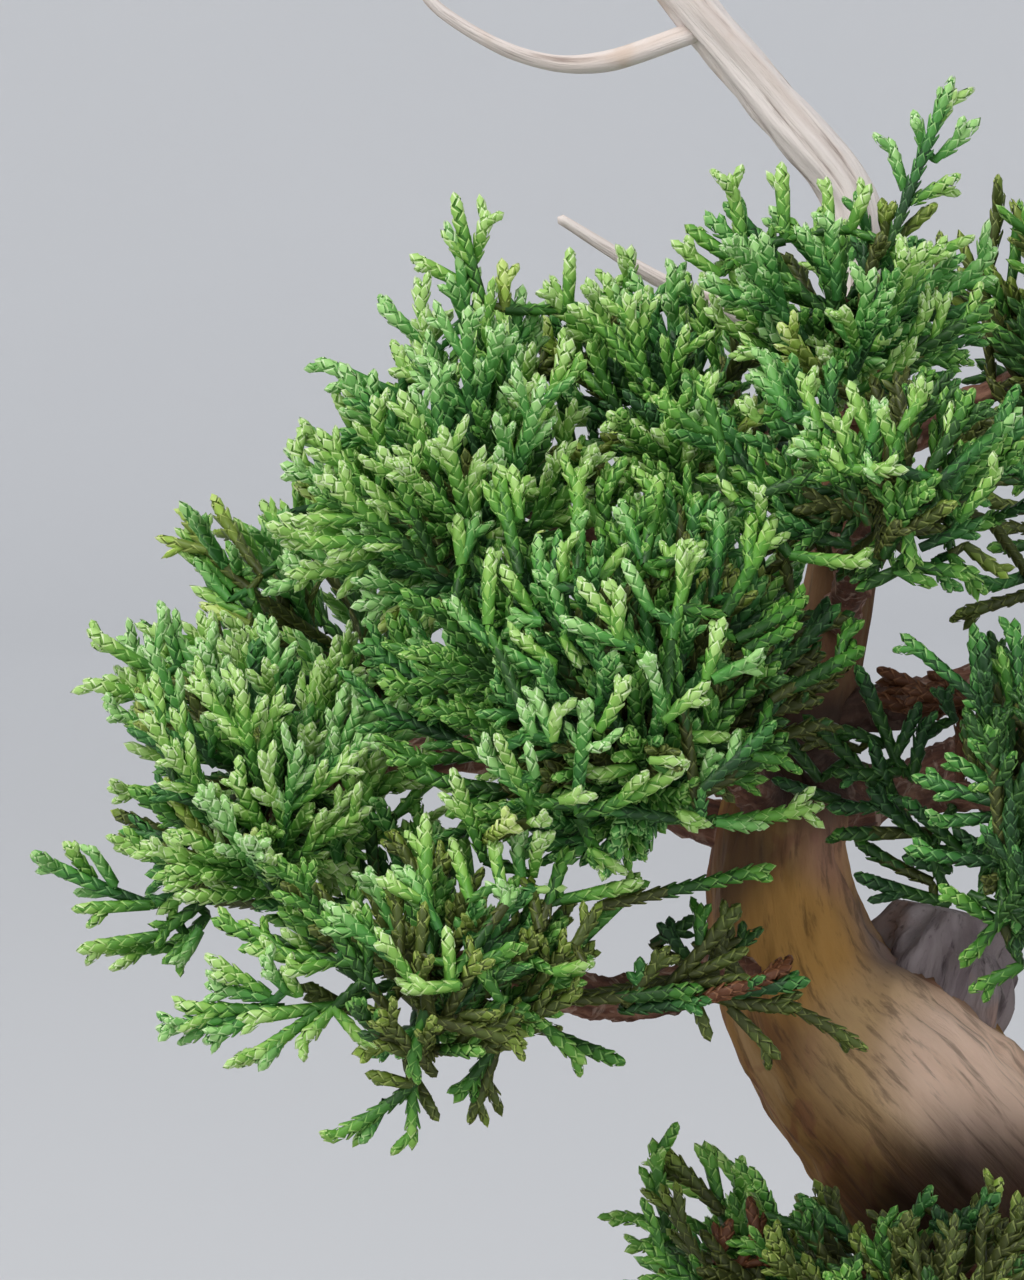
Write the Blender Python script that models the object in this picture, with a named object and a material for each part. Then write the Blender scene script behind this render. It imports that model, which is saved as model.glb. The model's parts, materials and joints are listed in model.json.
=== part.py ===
"""Chinese juniper grown as a small bonsai: a trunk that leans and turns back at an elbow, a bleached dead
top, boughs, dense masses of scale foliage, and a plain rectangular pot.

Metres, +Z up, the viewer's side at -Y, origin at the centre of the pot's flat underside.
"""

import math
import random
from collections import namedtuple

import bmesh
import bpy
from mathutils import Matrix, Vector

MM = 0.001
CLEAR = 0.3 * MM
SEAM = 0.01 * MM

# Pot and soil
POT_LENGTH = 98 * MM
POT_WIDTH = 76 * MM
POT_HEIGHT = 28 * MM
POT_WALL = 4.5 * MM
POT_FLOOR = 5 * MM
POT_TAPER = 0.90
POT_CORNER = 7 * MM
RIM_HEIGHT = 4.5 * MM
RIM_PROUD = 2.2 * MM
FOOT_HEIGHT = 3 * MM
RIM_TAPER = 0.985
FOOT_INSET = 4 * MM
CORNER_STEPS = 4
SOIL_LEVEL = 25 * MM
# The soil's lumps: how far apart, how far they stand out or sink, and how far round the trunk it stays
# level
LUMP_SPACING = 8.5 * MM
LUMP_RISE = 0.55 * MM
LEVEL_REACH = 20 * MM
UPWARD = 0.9

# Trunk: where its centreline passes and its radius there, in millimetres, from the soil up
TRUNK_STATIONS = (
    (19.8, 3.0, 20.0, 9.2),
    (18.8, 2.6, 29.0, 8.7),
    (16.5, 1.8, 39.0, 8.2),
    (11.5, 0.8, 49.0, 8.0),
    (4.0, 0.0, 58.0, 8.0),
    (-2.2, 0.0, 65.0, 6.3),
    (-4.3, 0.5, 73.0, 4.7),
    (-3.2, 1.2, 81.0, 3.5),
    (-1.1, 1.8, 88.0, 2.7),
    (0.2, 2.2, 96.0, 2.3),
    (0.9, 2.6, 104.0, 2.0),
    (0.9, 3.0, 110.0, 1.8),
)
TRUNK_STEPS = 3
TRUNK_SIDES = 12
ROOT_LOBES = 5
ROOT_SPREAD = 1.1
ROOT_TOP = SOIL_LEVEL + 11 * MM
ROOT_LEAST = 0.35

# Deadwood, each as for the trunk: the bleached top, its side twig, a thin snag and the broad stub beside
# the elbow
DEADWOOD = {
    "dead_top": (
        (0.9, 3.02, 110.4, 1.75),
        (0.8, 3.2, 114.0, 1.75),
        (0.0, 3.4, 117.8, 1.75),
        (-4.3, 3.5, 123.2, 1.7),
        (-10.5, 3.6, 130.4, 1.5),
        (-15.2, 3.8, 136.0, 1.0),
        (-18.0, 4.0, 140.5, 0.35),
    ),
    "dead_side_twig": (
        (-9.0, 3.5, 128.6, 0.75),
        (-15.9, 3.5, 126.3, 0.7),
        (-21.0, 3.5, 126.7, 0.6),
        (-26.7, 3.5, 129.7, 0.45),
        (-29.2, 3.4, 133.2, 0.25),
    ),
    "dead_snag": (
        (0.9, 2.8, 107.0, 0.9),
        (-6.0, 3.2, 109.3, 0.75),
        (-12.5, 3.4, 112.2, 0.6),
        (-18.8, 3.5, 116.0, 0.35),
    ),
    "dead_stub": (
        (4.6, 1.6, 60.5, 5.2),
        (5.9, 2.2, 64.0, 5.1),
        (6.8, 2.6, 67.4, 4.7),
        (7.4, 2.8, 70.0, 3.7),
    ),
}
DEADWOOD_PARENT = {
    "dead_top": None,
    "dead_side_twig": "dead_top",
    "dead_snag": "trunk",
    "dead_stub": "trunk",
}
DEADWOOD_STEPS = 2

# Foliage. Each mass fills a rounded space: its centre and half sizes in millimetres. Its bough leaves the
# parent limb at the given share of that limb's length, with the given radius, and bows up by the arch.
Mass = namedtuple("Mass", "name centre radii parent share radius arch")
MASSES = (
    Mass("front_centre", (-15.5, -30.0, 88.6), (15.0, 11.5, 12.5), "trunk", 0.66, 1.7, 1.0),
    Mass("front_low", (-29.2, -32.0, 70.5), (14.5, 9.5, 8.5), "trunk", 0.56, 1.7, -2.5),
    Mass("front_twig", (-9.0, -31.0, 70.6), (8.8, 6.5, 6.2), "front_low", 0.50, 0.9, 0.5),
    Mass("left", (-39.5, -22.0, 80.9), (12.8, 11.5, 11.5), "trunk", 0.71, 1.7, 1.5),
    Mass("upper_left", (-26.0, -23.5, 101.3), (12.3, 12.0, 10.8), "trunk", 0.75, 1.5, 1.5),
    Mass("upper_middle", (-13.0, -19.5, 105.8), (8.8, 9.5, 9.0), "trunk", 0.84, 1.2, 1.0),
    Mass("upper_right", (-1.9, -23.0, 110.9), (10.8, 9.0, 8.5), "trunk", 0.93, 1.2, 0.5),
    Mass("right_middle", (0.3, -31.5, 100.8), (10.5, 8.5, 8.3), "trunk", 0.79, 1.3, 1.0),
    Mass("right_front", (8.2, -32.0, 80.6), (10.5, 9.0, 12.0), "trunk", 0.69, 1.4, -1.0),
    Mass("far_right", (19.0, -0.5, 109.4), (12.5, 13.0, 10.5), "trunk", 0.90, 1.3, 1.0),
    Mass("low_front", (1.2, -18.0, 48.3), (17.0, 11.5, 9.0), "trunk", 0.31, 1.9, 0.0),
    Mass("right_outer", (33.5, -12.0, 92.5), (16.0, 15.0, 12.0), "trunk", 0.72, 1.6, 1.0),
    Mass("right_low", (37.0, 4.0, 68.5), (15.5, 15.0, 10.5), "trunk", 0.34, 2.4, 1.0),
    Mass("back_right", (28.0, 23.0, 89.0), (14.0, 14.0, 13.0), "trunk", 0.64, 1.7, 1.0),
    Mass("back_left", (-14.0, 22.0, 88.5), (16.0, 14.0, 12.5), "trunk", 0.68, 1.6, 1.5),
    Mass("back_top", (-6.0, 15.0, 103.0), (10.5, 10.5, 9.5), "trunk", 0.82, 1.2, 1.0),
    Mass("far_left", (-34.5, 5.5, 87.0), (14.5, 14.5, 11.5), "trunk", 0.63, 1.6, 2.0),
    Mass("low_back", (2.0, 18.5, 44.5), (15.0, 12.0, 8.5), "trunk", 0.27, 1.9, 0.5),
)
# Long shoots that reach past the rounded spaces, by the place of their tips in millimetres
LEADERS = {
    "front_centre": ((-1.1, -32.0, 89.9), (-3.7, -38.0, 81.2)),
    "front_low": ((-42.8, -33.0, 67.3), (-33.0, -35.0, 60.7), (-26.5, -31.5, 60.2)),
    "front_twig": ((-1.0, -34.0, 66.3), (-15.5, -33.0, 65.2)),
    "left": ((-51.4, -22.0, 76.2), (-48.2, -20.0, 90.2)),
    "upper_left": ((-25.4, -24.0, 117.4), (-33.5, -22.0, 107.5)),
    "upper_middle": ((-16.5, -20.0, 113.9),),
    "upper_right": ((4.7, -26.0, 124.5), (-6.8, -19.0, 118.6)),
    "right_front": ((1.3, -36.0, 91.0),),
    "far_left": ((-43.3, -6.0, 97.5),),
    "low_front": ((-12.4, -17.0, 57.3),),
}
# A bough: how much of its parent end's radius is left at its tip, how its curve is pulled at both ends as
# shares of its reach, and how far it wanders, in millimetres, in how many turns across, back and up
TIP_RADIUS_SHARE = 0.6
BOUGH_STEPS = 6
BOUGH_SIDES = 6
FIRST_PULL = 0.4
LAST_PULL = 0.25
WANDER = 0.35
WANDER_TURNS = (5, 7, 6)
# Inside a mass, as shares of its half sizes: the bough ends at the foot, the hub lies further in, and a
# small core round the hub joins the stem and the sprays. The core shrinks by steps until it is this clear
# of the limbs.
FOOT_SHARE = 0.88
HUB_PULL = 0.34
STEM_SHARE = 0.92
CORE_SHARE = 0.40
CORE_LEAST = 0.2
CORE_STEP = 0.03
CORE_CHECKS = 60
CORE_GAP = 0.3
LIMB_GAP = 0.5
TURN = math.pi * (3 - math.sqrt(5))

# Sprays: one main shoot and its side shoots, each a slim finger. Their tips lie about this far apart, in
# millimetres, at this share of the mass's half sizes, and tend upwards.
SEAT_SPACING = 12.2
LEAST_SPRAYS = 6
TIP_REACH = (0.9, 0.99)
RISE = 0.22
SHOOT_SIDES = 3
SHOOT_BASE = 1.25 * MM
SHOOT_TIP = 0.6 * MM
# Where along it a shoot is checked, how much it is shortened at a time for lack of room, when it is left
# out, and how deep in the core it starts
SHOOT_CHECKS = (0.0, 0.25, 0.5, 0.75, 1.0)
SHORTER = 0.9
LEAST_REACH = 0.75
ROOT_DEPTH = 0.5
# Side shoots: their length as a share of the main shoot's, how far behind its tip they leave it, from
# where on they need room of their own, and their angle
SIDE_COUNT = 2
SIDE_SHARE = 0.5
SIDE_LEAST = 2.5
SIDE_FROM_TIP = (0.45, 0.62)
SIDE_OPEN = 0.4
SIDE_BASE = SHOOT_TIP * 1.15
SIDE_ANGLE = math.radians(42)
# How much nearer to its own mass than to another a shoot stays, unless it is this far outside the other
APART = 0.17
OUTSIDE = 1.09
SEED = 7

COLOURS = {
    "pot": ((0.16, 0.085, 0.055), 0.65),
    "soil": ((0.13, 0.085, 0.05), 0.95),
    "bark": ((0.30, 0.16, 0.08), 0.85),
    "deadwood": ((0.72, 0.62, 0.52), 0.75),
    "foliage": ((0.10, 0.27, 0.06), 0.6),
}


def clear_scene():
    for item in list(bpy.data.objects):
        bpy.data.objects.remove(item, do_unlink=True)


def new_collection(name):
    made = bpy.data.collections.new(name)
    bpy.context.scene.collection.children.link(made)
    return made


def new_material(name):
    colour, roughness = COLOURS[name]
    made = bpy.data.materials.new(name)
    made.use_nodes = True
    shader = made.node_tree.nodes["Principled BSDF"]
    shader.inputs["Base Color"].default_value = (*colour, 1)
    shader.inputs["Roughness"].default_value = roughness
    shader.inputs["Metallic"].default_value = 0
    return made


def mesh_object(name, mesh, collection):
    made = bpy.data.objects.new(name, mesh)
    collection.objects.link(made)
    return made


def boolean(target, operation, other=None, collection=None, solver="EXACT"):
    """Applies one Boolean to the target and removes what it was cut or joined with."""
    modifier = target.modifiers.new(operation.lower(), "BOOLEAN")
    modifier.operation = operation
    modifier.solver = solver
    if other is None:
        modifier.operand_type = "COLLECTION"
        modifier.collection = collection
        used = list(collection.objects)
    else:
        modifier.object = other
        used = [other]
    bpy.context.view_layer.update()
    graph = bpy.context.evaluated_depsgraph_get()
    mesh = bpy.data.meshes.new_from_object(target.evaluated_get(graph))
    target.modifiers.clear()
    target.data = mesh
    for item in used:
        bpy.data.objects.remove(item, do_unlink=True)


def smooth_path(stations, steps):
    """Points of a Catmull-Rom curve through stations of (x, y, z, radius), with so many steps a span."""
    points = [Vector(s) for s in stations]
    ends = [points[0] * 2 - points[1], *points, points[-1] * 2 - points[-2]]
    path = []
    for before, start, end, after in zip(ends, ends[1:], ends[2:], ends[3:]):
        for k in range(steps):
            t = k / steps
            path.append(
                0.5
                * (
                    2 * start
                    + (end - before) * t
                    + (2 * before - 5 * start + 4 * end - after) * t**2
                    + (3 * start - before - 3 * end + after) * t**3
                )
            )
    return [*path, points[-1]]


def arc_point(path, share):
    """The point and radius at a share of the path's length."""
    steps = [(b.xyz - a.xyz).length for a, b in zip(path, path[1:])]
    left = share * sum(steps)
    for start, end, step in zip(path, path[1:], steps):
        if left <= step:
            return start.lerp(end, left / step)
        left -= step
    return path[-1].copy()


def limb_object(name, path, sides, collection, grow=0.0):
    """A closed tapering limb along a path of (x, y, z, radius) in millimetres."""
    curve = bpy.data.curves.new(name, "CURVE")
    curve.dimensions = "3D"
    curve.twist_mode = "MINIMUM"
    curve.bevel_depth = MM
    curve.bevel_resolution = sides // 2 - 2
    curve.use_fill_caps = True
    spline = curve.splines.new("POLY")
    spline.points.add(len(path) - 1)
    for point, place in zip(spline.points, path):
        point.co = (*(place.xyz * MM), 1)
        point.radius = place.w + grow / MM
    source = mesh_object(name + "_curve", curve, collection)
    bpy.context.view_layer.update()
    graph = bpy.context.evaluated_depsgraph_get()
    mesh = bpy.data.meshes.new_from_object(source.evaluated_get(graph))
    bpy.data.objects.remove(source, do_unlink=True)
    shape = bmesh.new()
    shape.from_mesh(mesh)
    bmesh.ops.remove_doubles(shape, verts=shape.verts, dist=SEAM)
    bmesh.ops.recalc_face_normals(shape, faces=shape.faces)
    shape.to_mesh(mesh)
    shape.free()
    return mesh_object(name, mesh, collection)


def rounded_box(name, length, width, bottom, top, corner, foot_share, collection):
    """A box with rounded upright edges, whose underside is smaller than its top by the given share."""
    shape = bmesh.new()
    size = Matrix.Diagonal((length, width, top - bottom, 1))
    lift = Matrix.Translation((0, 0, (top + bottom) / 2))
    bmesh.ops.create_cube(shape, size=1, matrix=lift @ size)
    upright = [e for e in shape.edges if abs(e.verts[0].co.z - e.verts[1].co.z) > (top - bottom) / 2]
    bmesh.ops.bevel(
        shape, geom=upright, offset=corner, segments=CORNER_STEPS, profile=0.5, affect="EDGES"
    )
    for vert in shape.verts:
        if vert.co.z < (top + bottom) / 2:
            vert.co.x *= foot_share
            vert.co.y *= foot_share
    bmesh.ops.recalc_face_normals(shape, faces=shape.faces)
    mesh = bpy.data.meshes.new(name)
    shape.to_mesh(mesh)
    shape.free()
    return mesh_object(name, mesh, collection)


def make_pot(parts, helpers):
    """The pot's body, rim and foot in one piece, hollowed to its wall."""
    body_length = POT_LENGTH - 2 * RIM_PROUD
    body_width = POT_WIDTH - 2 * RIM_PROUD
    foot_length = body_length * POT_TAPER - 2 * FOOT_INSET
    foot_width = body_width * POT_TAPER - 2 * FOOT_INSET
    rim_bottom = POT_HEIGHT - RIM_HEIGHT
    pot = rounded_box(
        "pot", body_length, body_width, FOOT_HEIGHT, POT_HEIGHT - MM, POT_CORNER, POT_TAPER, parts
    )
    rim = rounded_box(
        "rim", POT_LENGTH, POT_WIDTH, rim_bottom, POT_HEIGHT, POT_CORNER + RIM_PROUD, RIM_TAPER, helpers
    )
    foot = rounded_box("foot", foot_length, foot_width, 0, FOOT_HEIGHT + MM, POT_CORNER, 1, helpers)
    boolean(pot, "UNION", rim)
    boolean(pot, "UNION", foot)
    boolean(pot, "DIFFERENCE", pot_inside("hollow", 0, POT_FLOOR, POT_HEIGHT + 2 * MM, helpers))
    return pot


def pot_inside(name, gap, bottom, top, collection):
    """The pot's inside, less a gap all round."""
    inside_length = POT_LENGTH - 2 * RIM_PROUD - 2 * POT_WALL - 2 * gap
    inside_width = POT_WIDTH - 2 * RIM_PROUD - 2 * POT_WALL - 2 * gap
    slope = (1 - POT_TAPER) / (POT_HEIGHT - POT_FLOOR)
    wide = 1 - slope * (POT_HEIGHT - top)
    narrow = (1 - slope * (POT_HEIGHT - bottom)) / wide
    return rounded_box(
        name, inside_length * wide, inside_width * wide, bottom, top, POT_CORNER - gap, narrow, collection
    )


def make_soil(trunk_foot, parts):
    """Soil that fills the pot, its surface lumpy except round the trunk's foot."""
    soil = pot_inside("soil", CLEAR, POT_FLOOR + CLEAR, SOIL_LEVEL, parts)
    shape = bmesh.new()
    shape.from_mesh(soil.data)
    for side, span in ((Vector((1, 0, 0)), POT_LENGTH), (Vector((0, 1, 0)), POT_WIDTH)):
        count = round(span / 2 / LUMP_SPACING)
        for k in range(-count, count + 1):
            top = [f for f in shape.faces if all(v.co.z > SOIL_LEVEL - SEAM for v in f.verts)]
            whole = {*top, *(e for f in top for e in f.edges), *(v for f in top for v in f.verts)}
            place = side * k * LUMP_SPACING
            bmesh.ops.bisect_plane(shape, geom=list(whole), plane_co=place, plane_no=side, dist=SEAM)
    dice = random.Random(SEED)
    surface = [v for v in shape.verts if all(f.normal.z > UPWARD for f in v.link_faces)]
    for vert in surface:
        if (vert.co.xy - trunk_foot.xy * MM).length > LEVEL_REACH:
            vert.co.z += dice.uniform(-LUMP_RISE, LUMP_RISE)
    bmesh.ops.triangulate(shape, faces=[f for f in shape.faces if f.normal.z > UPWARD])
    shape.to_mesh(soil.data)
    shape.free()
    return soil


def make_trunk(path, parts):
    """The trunk, spread into root lobes at its foot and cut flat just above the soil."""
    trunk = limb_object("trunk", path, TRUNK_SIDES, parts)
    foot = path[0].xyz * MM
    shape = bmesh.new()
    shape.from_mesh(trunk.data)
    for vert in shape.verts:
        rise = (vert.co.z - foot.z) / (ROOT_TOP - foot.z)
        if rise < 1:
            away = vert.co - foot
            lobe = 0.5 + 0.5 * math.cos(ROOT_LOBES * math.atan2(away.y, away.x))
            spread = 1 + ROOT_SPREAD * (1 - max(rise, 0)) ** 2 * (ROOT_LEAST + lobe)
            vert.co.x = foot.x + away.x * spread
            vert.co.y = foot.y + away.y * spread
    whole = [*shape.verts, *shape.edges, *shape.faces]
    level = Vector((0, 0, SOIL_LEVEL + CLEAR))
    cut = bmesh.ops.bisect_plane(shape, geom=whole, plane_co=level, plane_no=(0, 0, 1), clear_inner=True)
    rim = [item for item in cut["geom_cut"] if isinstance(item, bmesh.types.BMEdge)]
    bmesh.ops.contextual_create(shape, geom=rim)
    bmesh.ops.recalc_face_normals(shape, faces=shape.faces)
    shape.to_mesh(trunk.data)
    shape.free()
    return trunk


def share_out(mass, point, centre=None):
    """How far out the point lies, as a share of the mass's half sizes, from its centre or another."""
    centre = centre or mass.centre
    return math.sqrt(sum(((point[i] - centre[i]) / mass.radii[i]) ** 2 for i in range(3)))


def point_out(mass, direction, share, centre=None):
    """The point that lies that far out from the centre."""
    away = Vector([direction[i] * mass.radii[i] * share for i in range(3)])
    return Vector(centre or mass.centre) + away


def foot_and_hub(mass, root):
    """Where the bough ends at the edge of the mass's space, and where its twigs part, inside it."""
    centre = Vector(mass.centre)
    inward = centre - root
    edge = centre - inward * (FOOT_SHARE / share_out(mass, root))
    return edge, centre.lerp(edge, HUB_PULL)


def bough_path(mass, paths):
    """A bough from its parent limb's centreline to the edge of the mass's space, as (x, y, z, radius)."""
    start = arc_point(paths[mass.parent], mass.share)
    root = start.xyz
    foot, hub = foot_and_hub(mass, root)
    reach = (foot - root).length
    outward = Vector((foot.x - root.x, foot.y - root.y, 0)).normalized()
    first = root + outward * reach * FIRST_PULL + Vector((0, 0, mass.arch))
    second = foot - (hub - foot).normalized() * reach * LAST_PULL + Vector((0, 0, mass.arch))
    path = []
    for k in range(BOUGH_STEPS + 1):
        t = k / BOUGH_STEPS
        along = root * (1 - t) ** 3 + 3 * first * t * (1 - t) ** 2
        along += 3 * second * t**2 * (1 - t) + foot * t**3
        wander = math.sin(t * math.pi) * WANDER
        wide, deep, high = (turns * t for turns in WANDER_TURNS)
        swing = Vector((math.sin(wide + mass.arch), math.cos(deep), math.sin(high + mass.share))) * wander
        radius = mass.radius * (1 - (1 - TIP_RADIUS_SHARE) * t)
        path.append(Vector((*(along + swing), radius)))
    return path


def near_limb(point, radius, limbs):
    """True if a ball at the point comes too close to a limb."""
    for path in limbs.values():
        for start, end in zip(path, path[1:]):
            span = end.xyz - start.xyz
            t = min(1, max(0, (point - start.xyz).dot(span) / span.length_squared))
            limb = start.lerp(end, t)
            if (point - limb.xyz).length < limb.w + radius + LIMB_GAP:
                return True
    return False


def keeps_to_space(mass, point, radius, limbs):
    """True if a ball at the point keeps off the mass's neighbours and the limbs."""
    own = min(share_out(mass, point), 1.0)
    for other in MASSES:
        there = share_out(other, point)
        if other is not mass and there < own + APART and there < OUTSIDE:
            return False
    return not near_limb(point, radius, limbs)


def finger(start, end, first, last, collection):
    """A slim shoot from start to end, in millimetres, with its radii in metres."""
    along = end - start
    shape = bmesh.new()
    turn = along.to_track_quat("Z", "Y").to_matrix().to_4x4()
    place = Matrix.Translation((start + end) / 2 * MM) @ turn
    bmesh.ops.create_cone(
        shape,
        cap_ends=True,
        segments=SHOOT_SIDES,
        radius1=first,
        radius2=last,
        depth=along.length * MM,
        matrix=place,
    )
    mesh = bpy.data.meshes.new("shoot")
    shape.to_mesh(mesh)
    shape.free()
    return mesh_object("shoot", mesh, collection)


def shoot_fits(mass, start, end, limbs):
    """True if a shoot's outer part keeps to the mass's space, clear of its neighbours and the limbs."""
    return all(
        keeps_to_space(mass, start.lerp(end, t), (SHOOT_BASE * (1 - t) + SHOOT_TIP * t) / MM, limbs)
        for t in SHOOT_CHECKS
    )


def spray_count(mass):
    """How many sprays the mass's surface has room for."""
    wide, deep, high = mass.radii
    area = 4 * math.pi * (wide * deep + deep * high + high * wide) / 3
    return max(LEAST_SPRAYS, round(area / SEAT_SPACING**2))


def spray_directions(mass, count):
    """Directions spread evenly round a ball by the golden angle, tipped upwards."""
    offset = MASSES.index(mass)
    for k in range(count):
        height = 1 - (2 * k + 1) / count
        across = math.sqrt(1 - height**2)
        angle = k * TURN + offset
        direction = Vector((across * math.cos(angle), across * math.sin(angle), height + RISE))
        yield direction.normalized()


def core_share(mass, hub, limbs):
    """The largest core round the hub that keeps clear of the limbs and the other masses."""
    share = CORE_SHARE
    directions = list(spray_directions(mass, CORE_CHECKS))
    while share > CORE_LEAST:
        around = [point_out(mass, d, share, hub) for d in directions]
        if all(keeps_to_space(mass, p, CORE_GAP, limbs) for p in around):
            break
        share -= CORE_STEP
    return share


def spray(mass, hub, tip, core, dice, limbs, collection):
    """One main shoot from the core to its tip and two side shoots, each left out where it has no room."""
    leave = core / share_out(mass, tip, hub)
    while not shoot_fits(mass, hub.lerp(tip, leave), tip, limbs):
        tip = hub.lerp(tip, SHORTER)
        leave = core / share_out(mass, tip, hub)
        if leave > LEAST_REACH:
            return
    finger(hub.lerp(tip, leave * ROOT_DEPTH), tip, SHOOT_BASE, SHOOT_TIP, collection)
    along = tip - hub.lerp(tip, leave)
    roll = dice.uniform(0, math.tau)
    for k in range(SIDE_COUNT):
        root = tip - along * dice.uniform(*SIDE_FROM_TIP)
        turn = Matrix.Rotation(roll + k * math.tau / SIDE_COUNT, 3, along)
        axis = turn @ along.orthogonal().normalized()
        away = Matrix.Rotation(SIDE_ANGLE, 3, axis) @ along.normalized()
        end = root + away * max(along.length * SIDE_SHARE, SIDE_LEAST)
        if shoot_fits(mass, root.lerp(end, SIDE_OPEN), end, limbs):
            finger(root, end, SIDE_BASE, SHOOT_TIP, collection)


def make_mass(mass, bough, limbs, parts, helpers):
    """A mass of foliage: its stem, a small core and the sprays round it, joined into one solid."""
    dice = random.Random(SEED + MASSES.index(mass))
    foot, hub = foot_and_hub(mass, bough[0].xyz)
    core = core_share(mass, hub, limbs)
    shape = bmesh.new()
    size = Matrix.Diagonal((*(Vector(mass.radii) * core * MM), 1))
    place = Matrix.Translation(hub * MM) @ size
    bmesh.ops.create_icosphere(shape, subdivisions=1, radius=1, matrix=place)
    mesh = bpy.data.meshes.new(mass.name)
    shape.to_mesh(mesh)
    shape.free()
    made = mesh_object("mass_" + mass.name, mesh, parts)
    inward = (bough[-1].xyz - bough[-2].xyz).normalized()
    stem_radius = bough[-1].w * STEM_SHARE
    stem_start = bough[-1].xyz + inward * CLEAR / MM
    stem = [stem_start, stem_start + inward * stem_radius, hub]
    limb_object("stem", [Vector((*point, stem_radius)) for point in stem], BOUGH_SIDES, helpers)
    tips = [Vector(tip) for tip in LEADERS.get(mass.name, ())]
    for direction in spray_directions(mass, spray_count(mass)):
        tips.append(point_out(mass, direction, dice.uniform(*TIP_REACH)))
    for tip in tips:
        spray(mass, hub, tip, core, dice, limbs, helpers)
    boolean(made, "UNION", collection=helpers)
    return made


def make_limbs(paths, parts, helpers):
    """Each bough and dead branch, cut back from its parent limb by the gap between touching pieces."""
    made = {}
    parents = {mass.name: mass.parent for mass in MASSES} | DEADWOOD_PARENT
    for name, path in paths.items():
        if name == "trunk":
            continue
        dead = name in DEADWOOD
        limb = limb_object(name if dead else "bough_" + name, path, BOUGH_SIDES, parts)
        parent = parents[name]
        if parent:
            sides = TRUNK_SIDES if parent == "trunk" else BOUGH_SIDES
            cutter = limb_object("cutter", paths[parent], sides, helpers, CLEAR)
            boolean(limb, "DIFFERENCE", cutter)
        made[name] = limb
    return made


def main():
    clear_scene()
    parts = new_collection("chinese_juniper_bonsai")
    helpers = new_collection("helpers")
    materials = {name: new_material(name) for name in COLOURS}
    paths = {"trunk": smooth_path(TRUNK_STATIONS, TRUNK_STEPS)}
    for name, stations in DEADWOOD.items():
        paths[name] = smooth_path(stations, DEADWOOD_STEPS)
    for mass in MASSES:
        paths[mass.name] = bough_path(mass, paths)
    pot = make_pot(parts, helpers)
    pot.data.materials.append(materials["pot"])
    make_soil(paths["trunk"][0], parts).data.materials.append(materials["soil"])
    make_trunk(paths["trunk"], parts).data.materials.append(materials["bark"])
    for name, limb in make_limbs(paths, parts, helpers).items():
        limb.data.materials.append(materials["deadwood" if name in DEADWOOD else "bark"])
    for mass in MASSES:
        made = make_mass(mass, paths[mass.name], paths, parts, helpers)
        made.data.materials.clear()
        made.data.materials.append(materials["foliage"])


main()
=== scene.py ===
"""Looks of the chinese juniper bonsai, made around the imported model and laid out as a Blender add-on.

Metres, +Z up, the viewer's side at -Y. Sizes of the plant's parts are given in millimetres.
"""

import json
import math
import random
from collections import namedtuple

import bpy
import numpy as np
from bpy.props import FloatProperty, FloatVectorProperty, PointerProperty
from bpy.types import Operator, Panel, PropertyGroup
from mathutils import Matrix, Vector, noise

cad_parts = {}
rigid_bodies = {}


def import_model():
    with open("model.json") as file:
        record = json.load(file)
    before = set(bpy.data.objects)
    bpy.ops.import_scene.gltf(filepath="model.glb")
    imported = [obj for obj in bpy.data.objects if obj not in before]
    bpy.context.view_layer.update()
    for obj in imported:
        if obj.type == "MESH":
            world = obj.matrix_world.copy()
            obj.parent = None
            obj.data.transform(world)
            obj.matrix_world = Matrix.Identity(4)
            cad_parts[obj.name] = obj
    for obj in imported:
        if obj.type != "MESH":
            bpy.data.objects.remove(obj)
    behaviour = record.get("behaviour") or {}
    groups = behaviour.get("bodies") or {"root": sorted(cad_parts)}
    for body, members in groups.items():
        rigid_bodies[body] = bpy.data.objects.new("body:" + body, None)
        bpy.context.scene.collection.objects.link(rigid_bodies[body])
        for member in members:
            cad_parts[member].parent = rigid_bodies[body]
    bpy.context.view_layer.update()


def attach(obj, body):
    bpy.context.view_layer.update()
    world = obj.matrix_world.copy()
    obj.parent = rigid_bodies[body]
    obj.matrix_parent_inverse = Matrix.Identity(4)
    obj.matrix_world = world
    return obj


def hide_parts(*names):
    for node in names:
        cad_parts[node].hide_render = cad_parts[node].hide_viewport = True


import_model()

bl_info = {
    "name": "Chinese juniper bonsai",
    "version": (1, 0, 0),
    "blender": (4, 5, 0),
    "location": "3D View > Sidebar > Juniper",
    "description": "Dresses a small bonsai juniper: bark, deadwood, scale foliage, soil and pot",
    "category": "Object",
}

MM = 0.001
BODY = "root"

# The camera, in millimetres, with the picture's size and scale in pixels
PICTURE_WIDTH = 1024
PICTURE_HEIGHT = 1280
PIXELS_PER_MM = 17.0
AIM = Vector((-22.0, -38.0, 91.0))
CAMERA_DISTANCE = 320.0
CAMERA_ELEVATION = math.radians(4)
SENSOR = 36.0

# The pot and soil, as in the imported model
POT_LENGTH = 98 * MM
POT_WIDTH = 76 * MM
POT_HEIGHT = 28 * MM
POT_WALL = 4.5 * MM
POT_FLOOR = 5 * MM
POT_TAPER = 0.90
POT_CORNER = 7 * MM
RIM_HEIGHT = 4.5 * MM
RIM_PROUD = 2.2 * MM
RIM_TAPER = 0.985
FOOT_HEIGHT = 3 * MM
FOOT_INSET = 4 * MM
SOIL_LEVEL = 25 * MM

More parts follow.
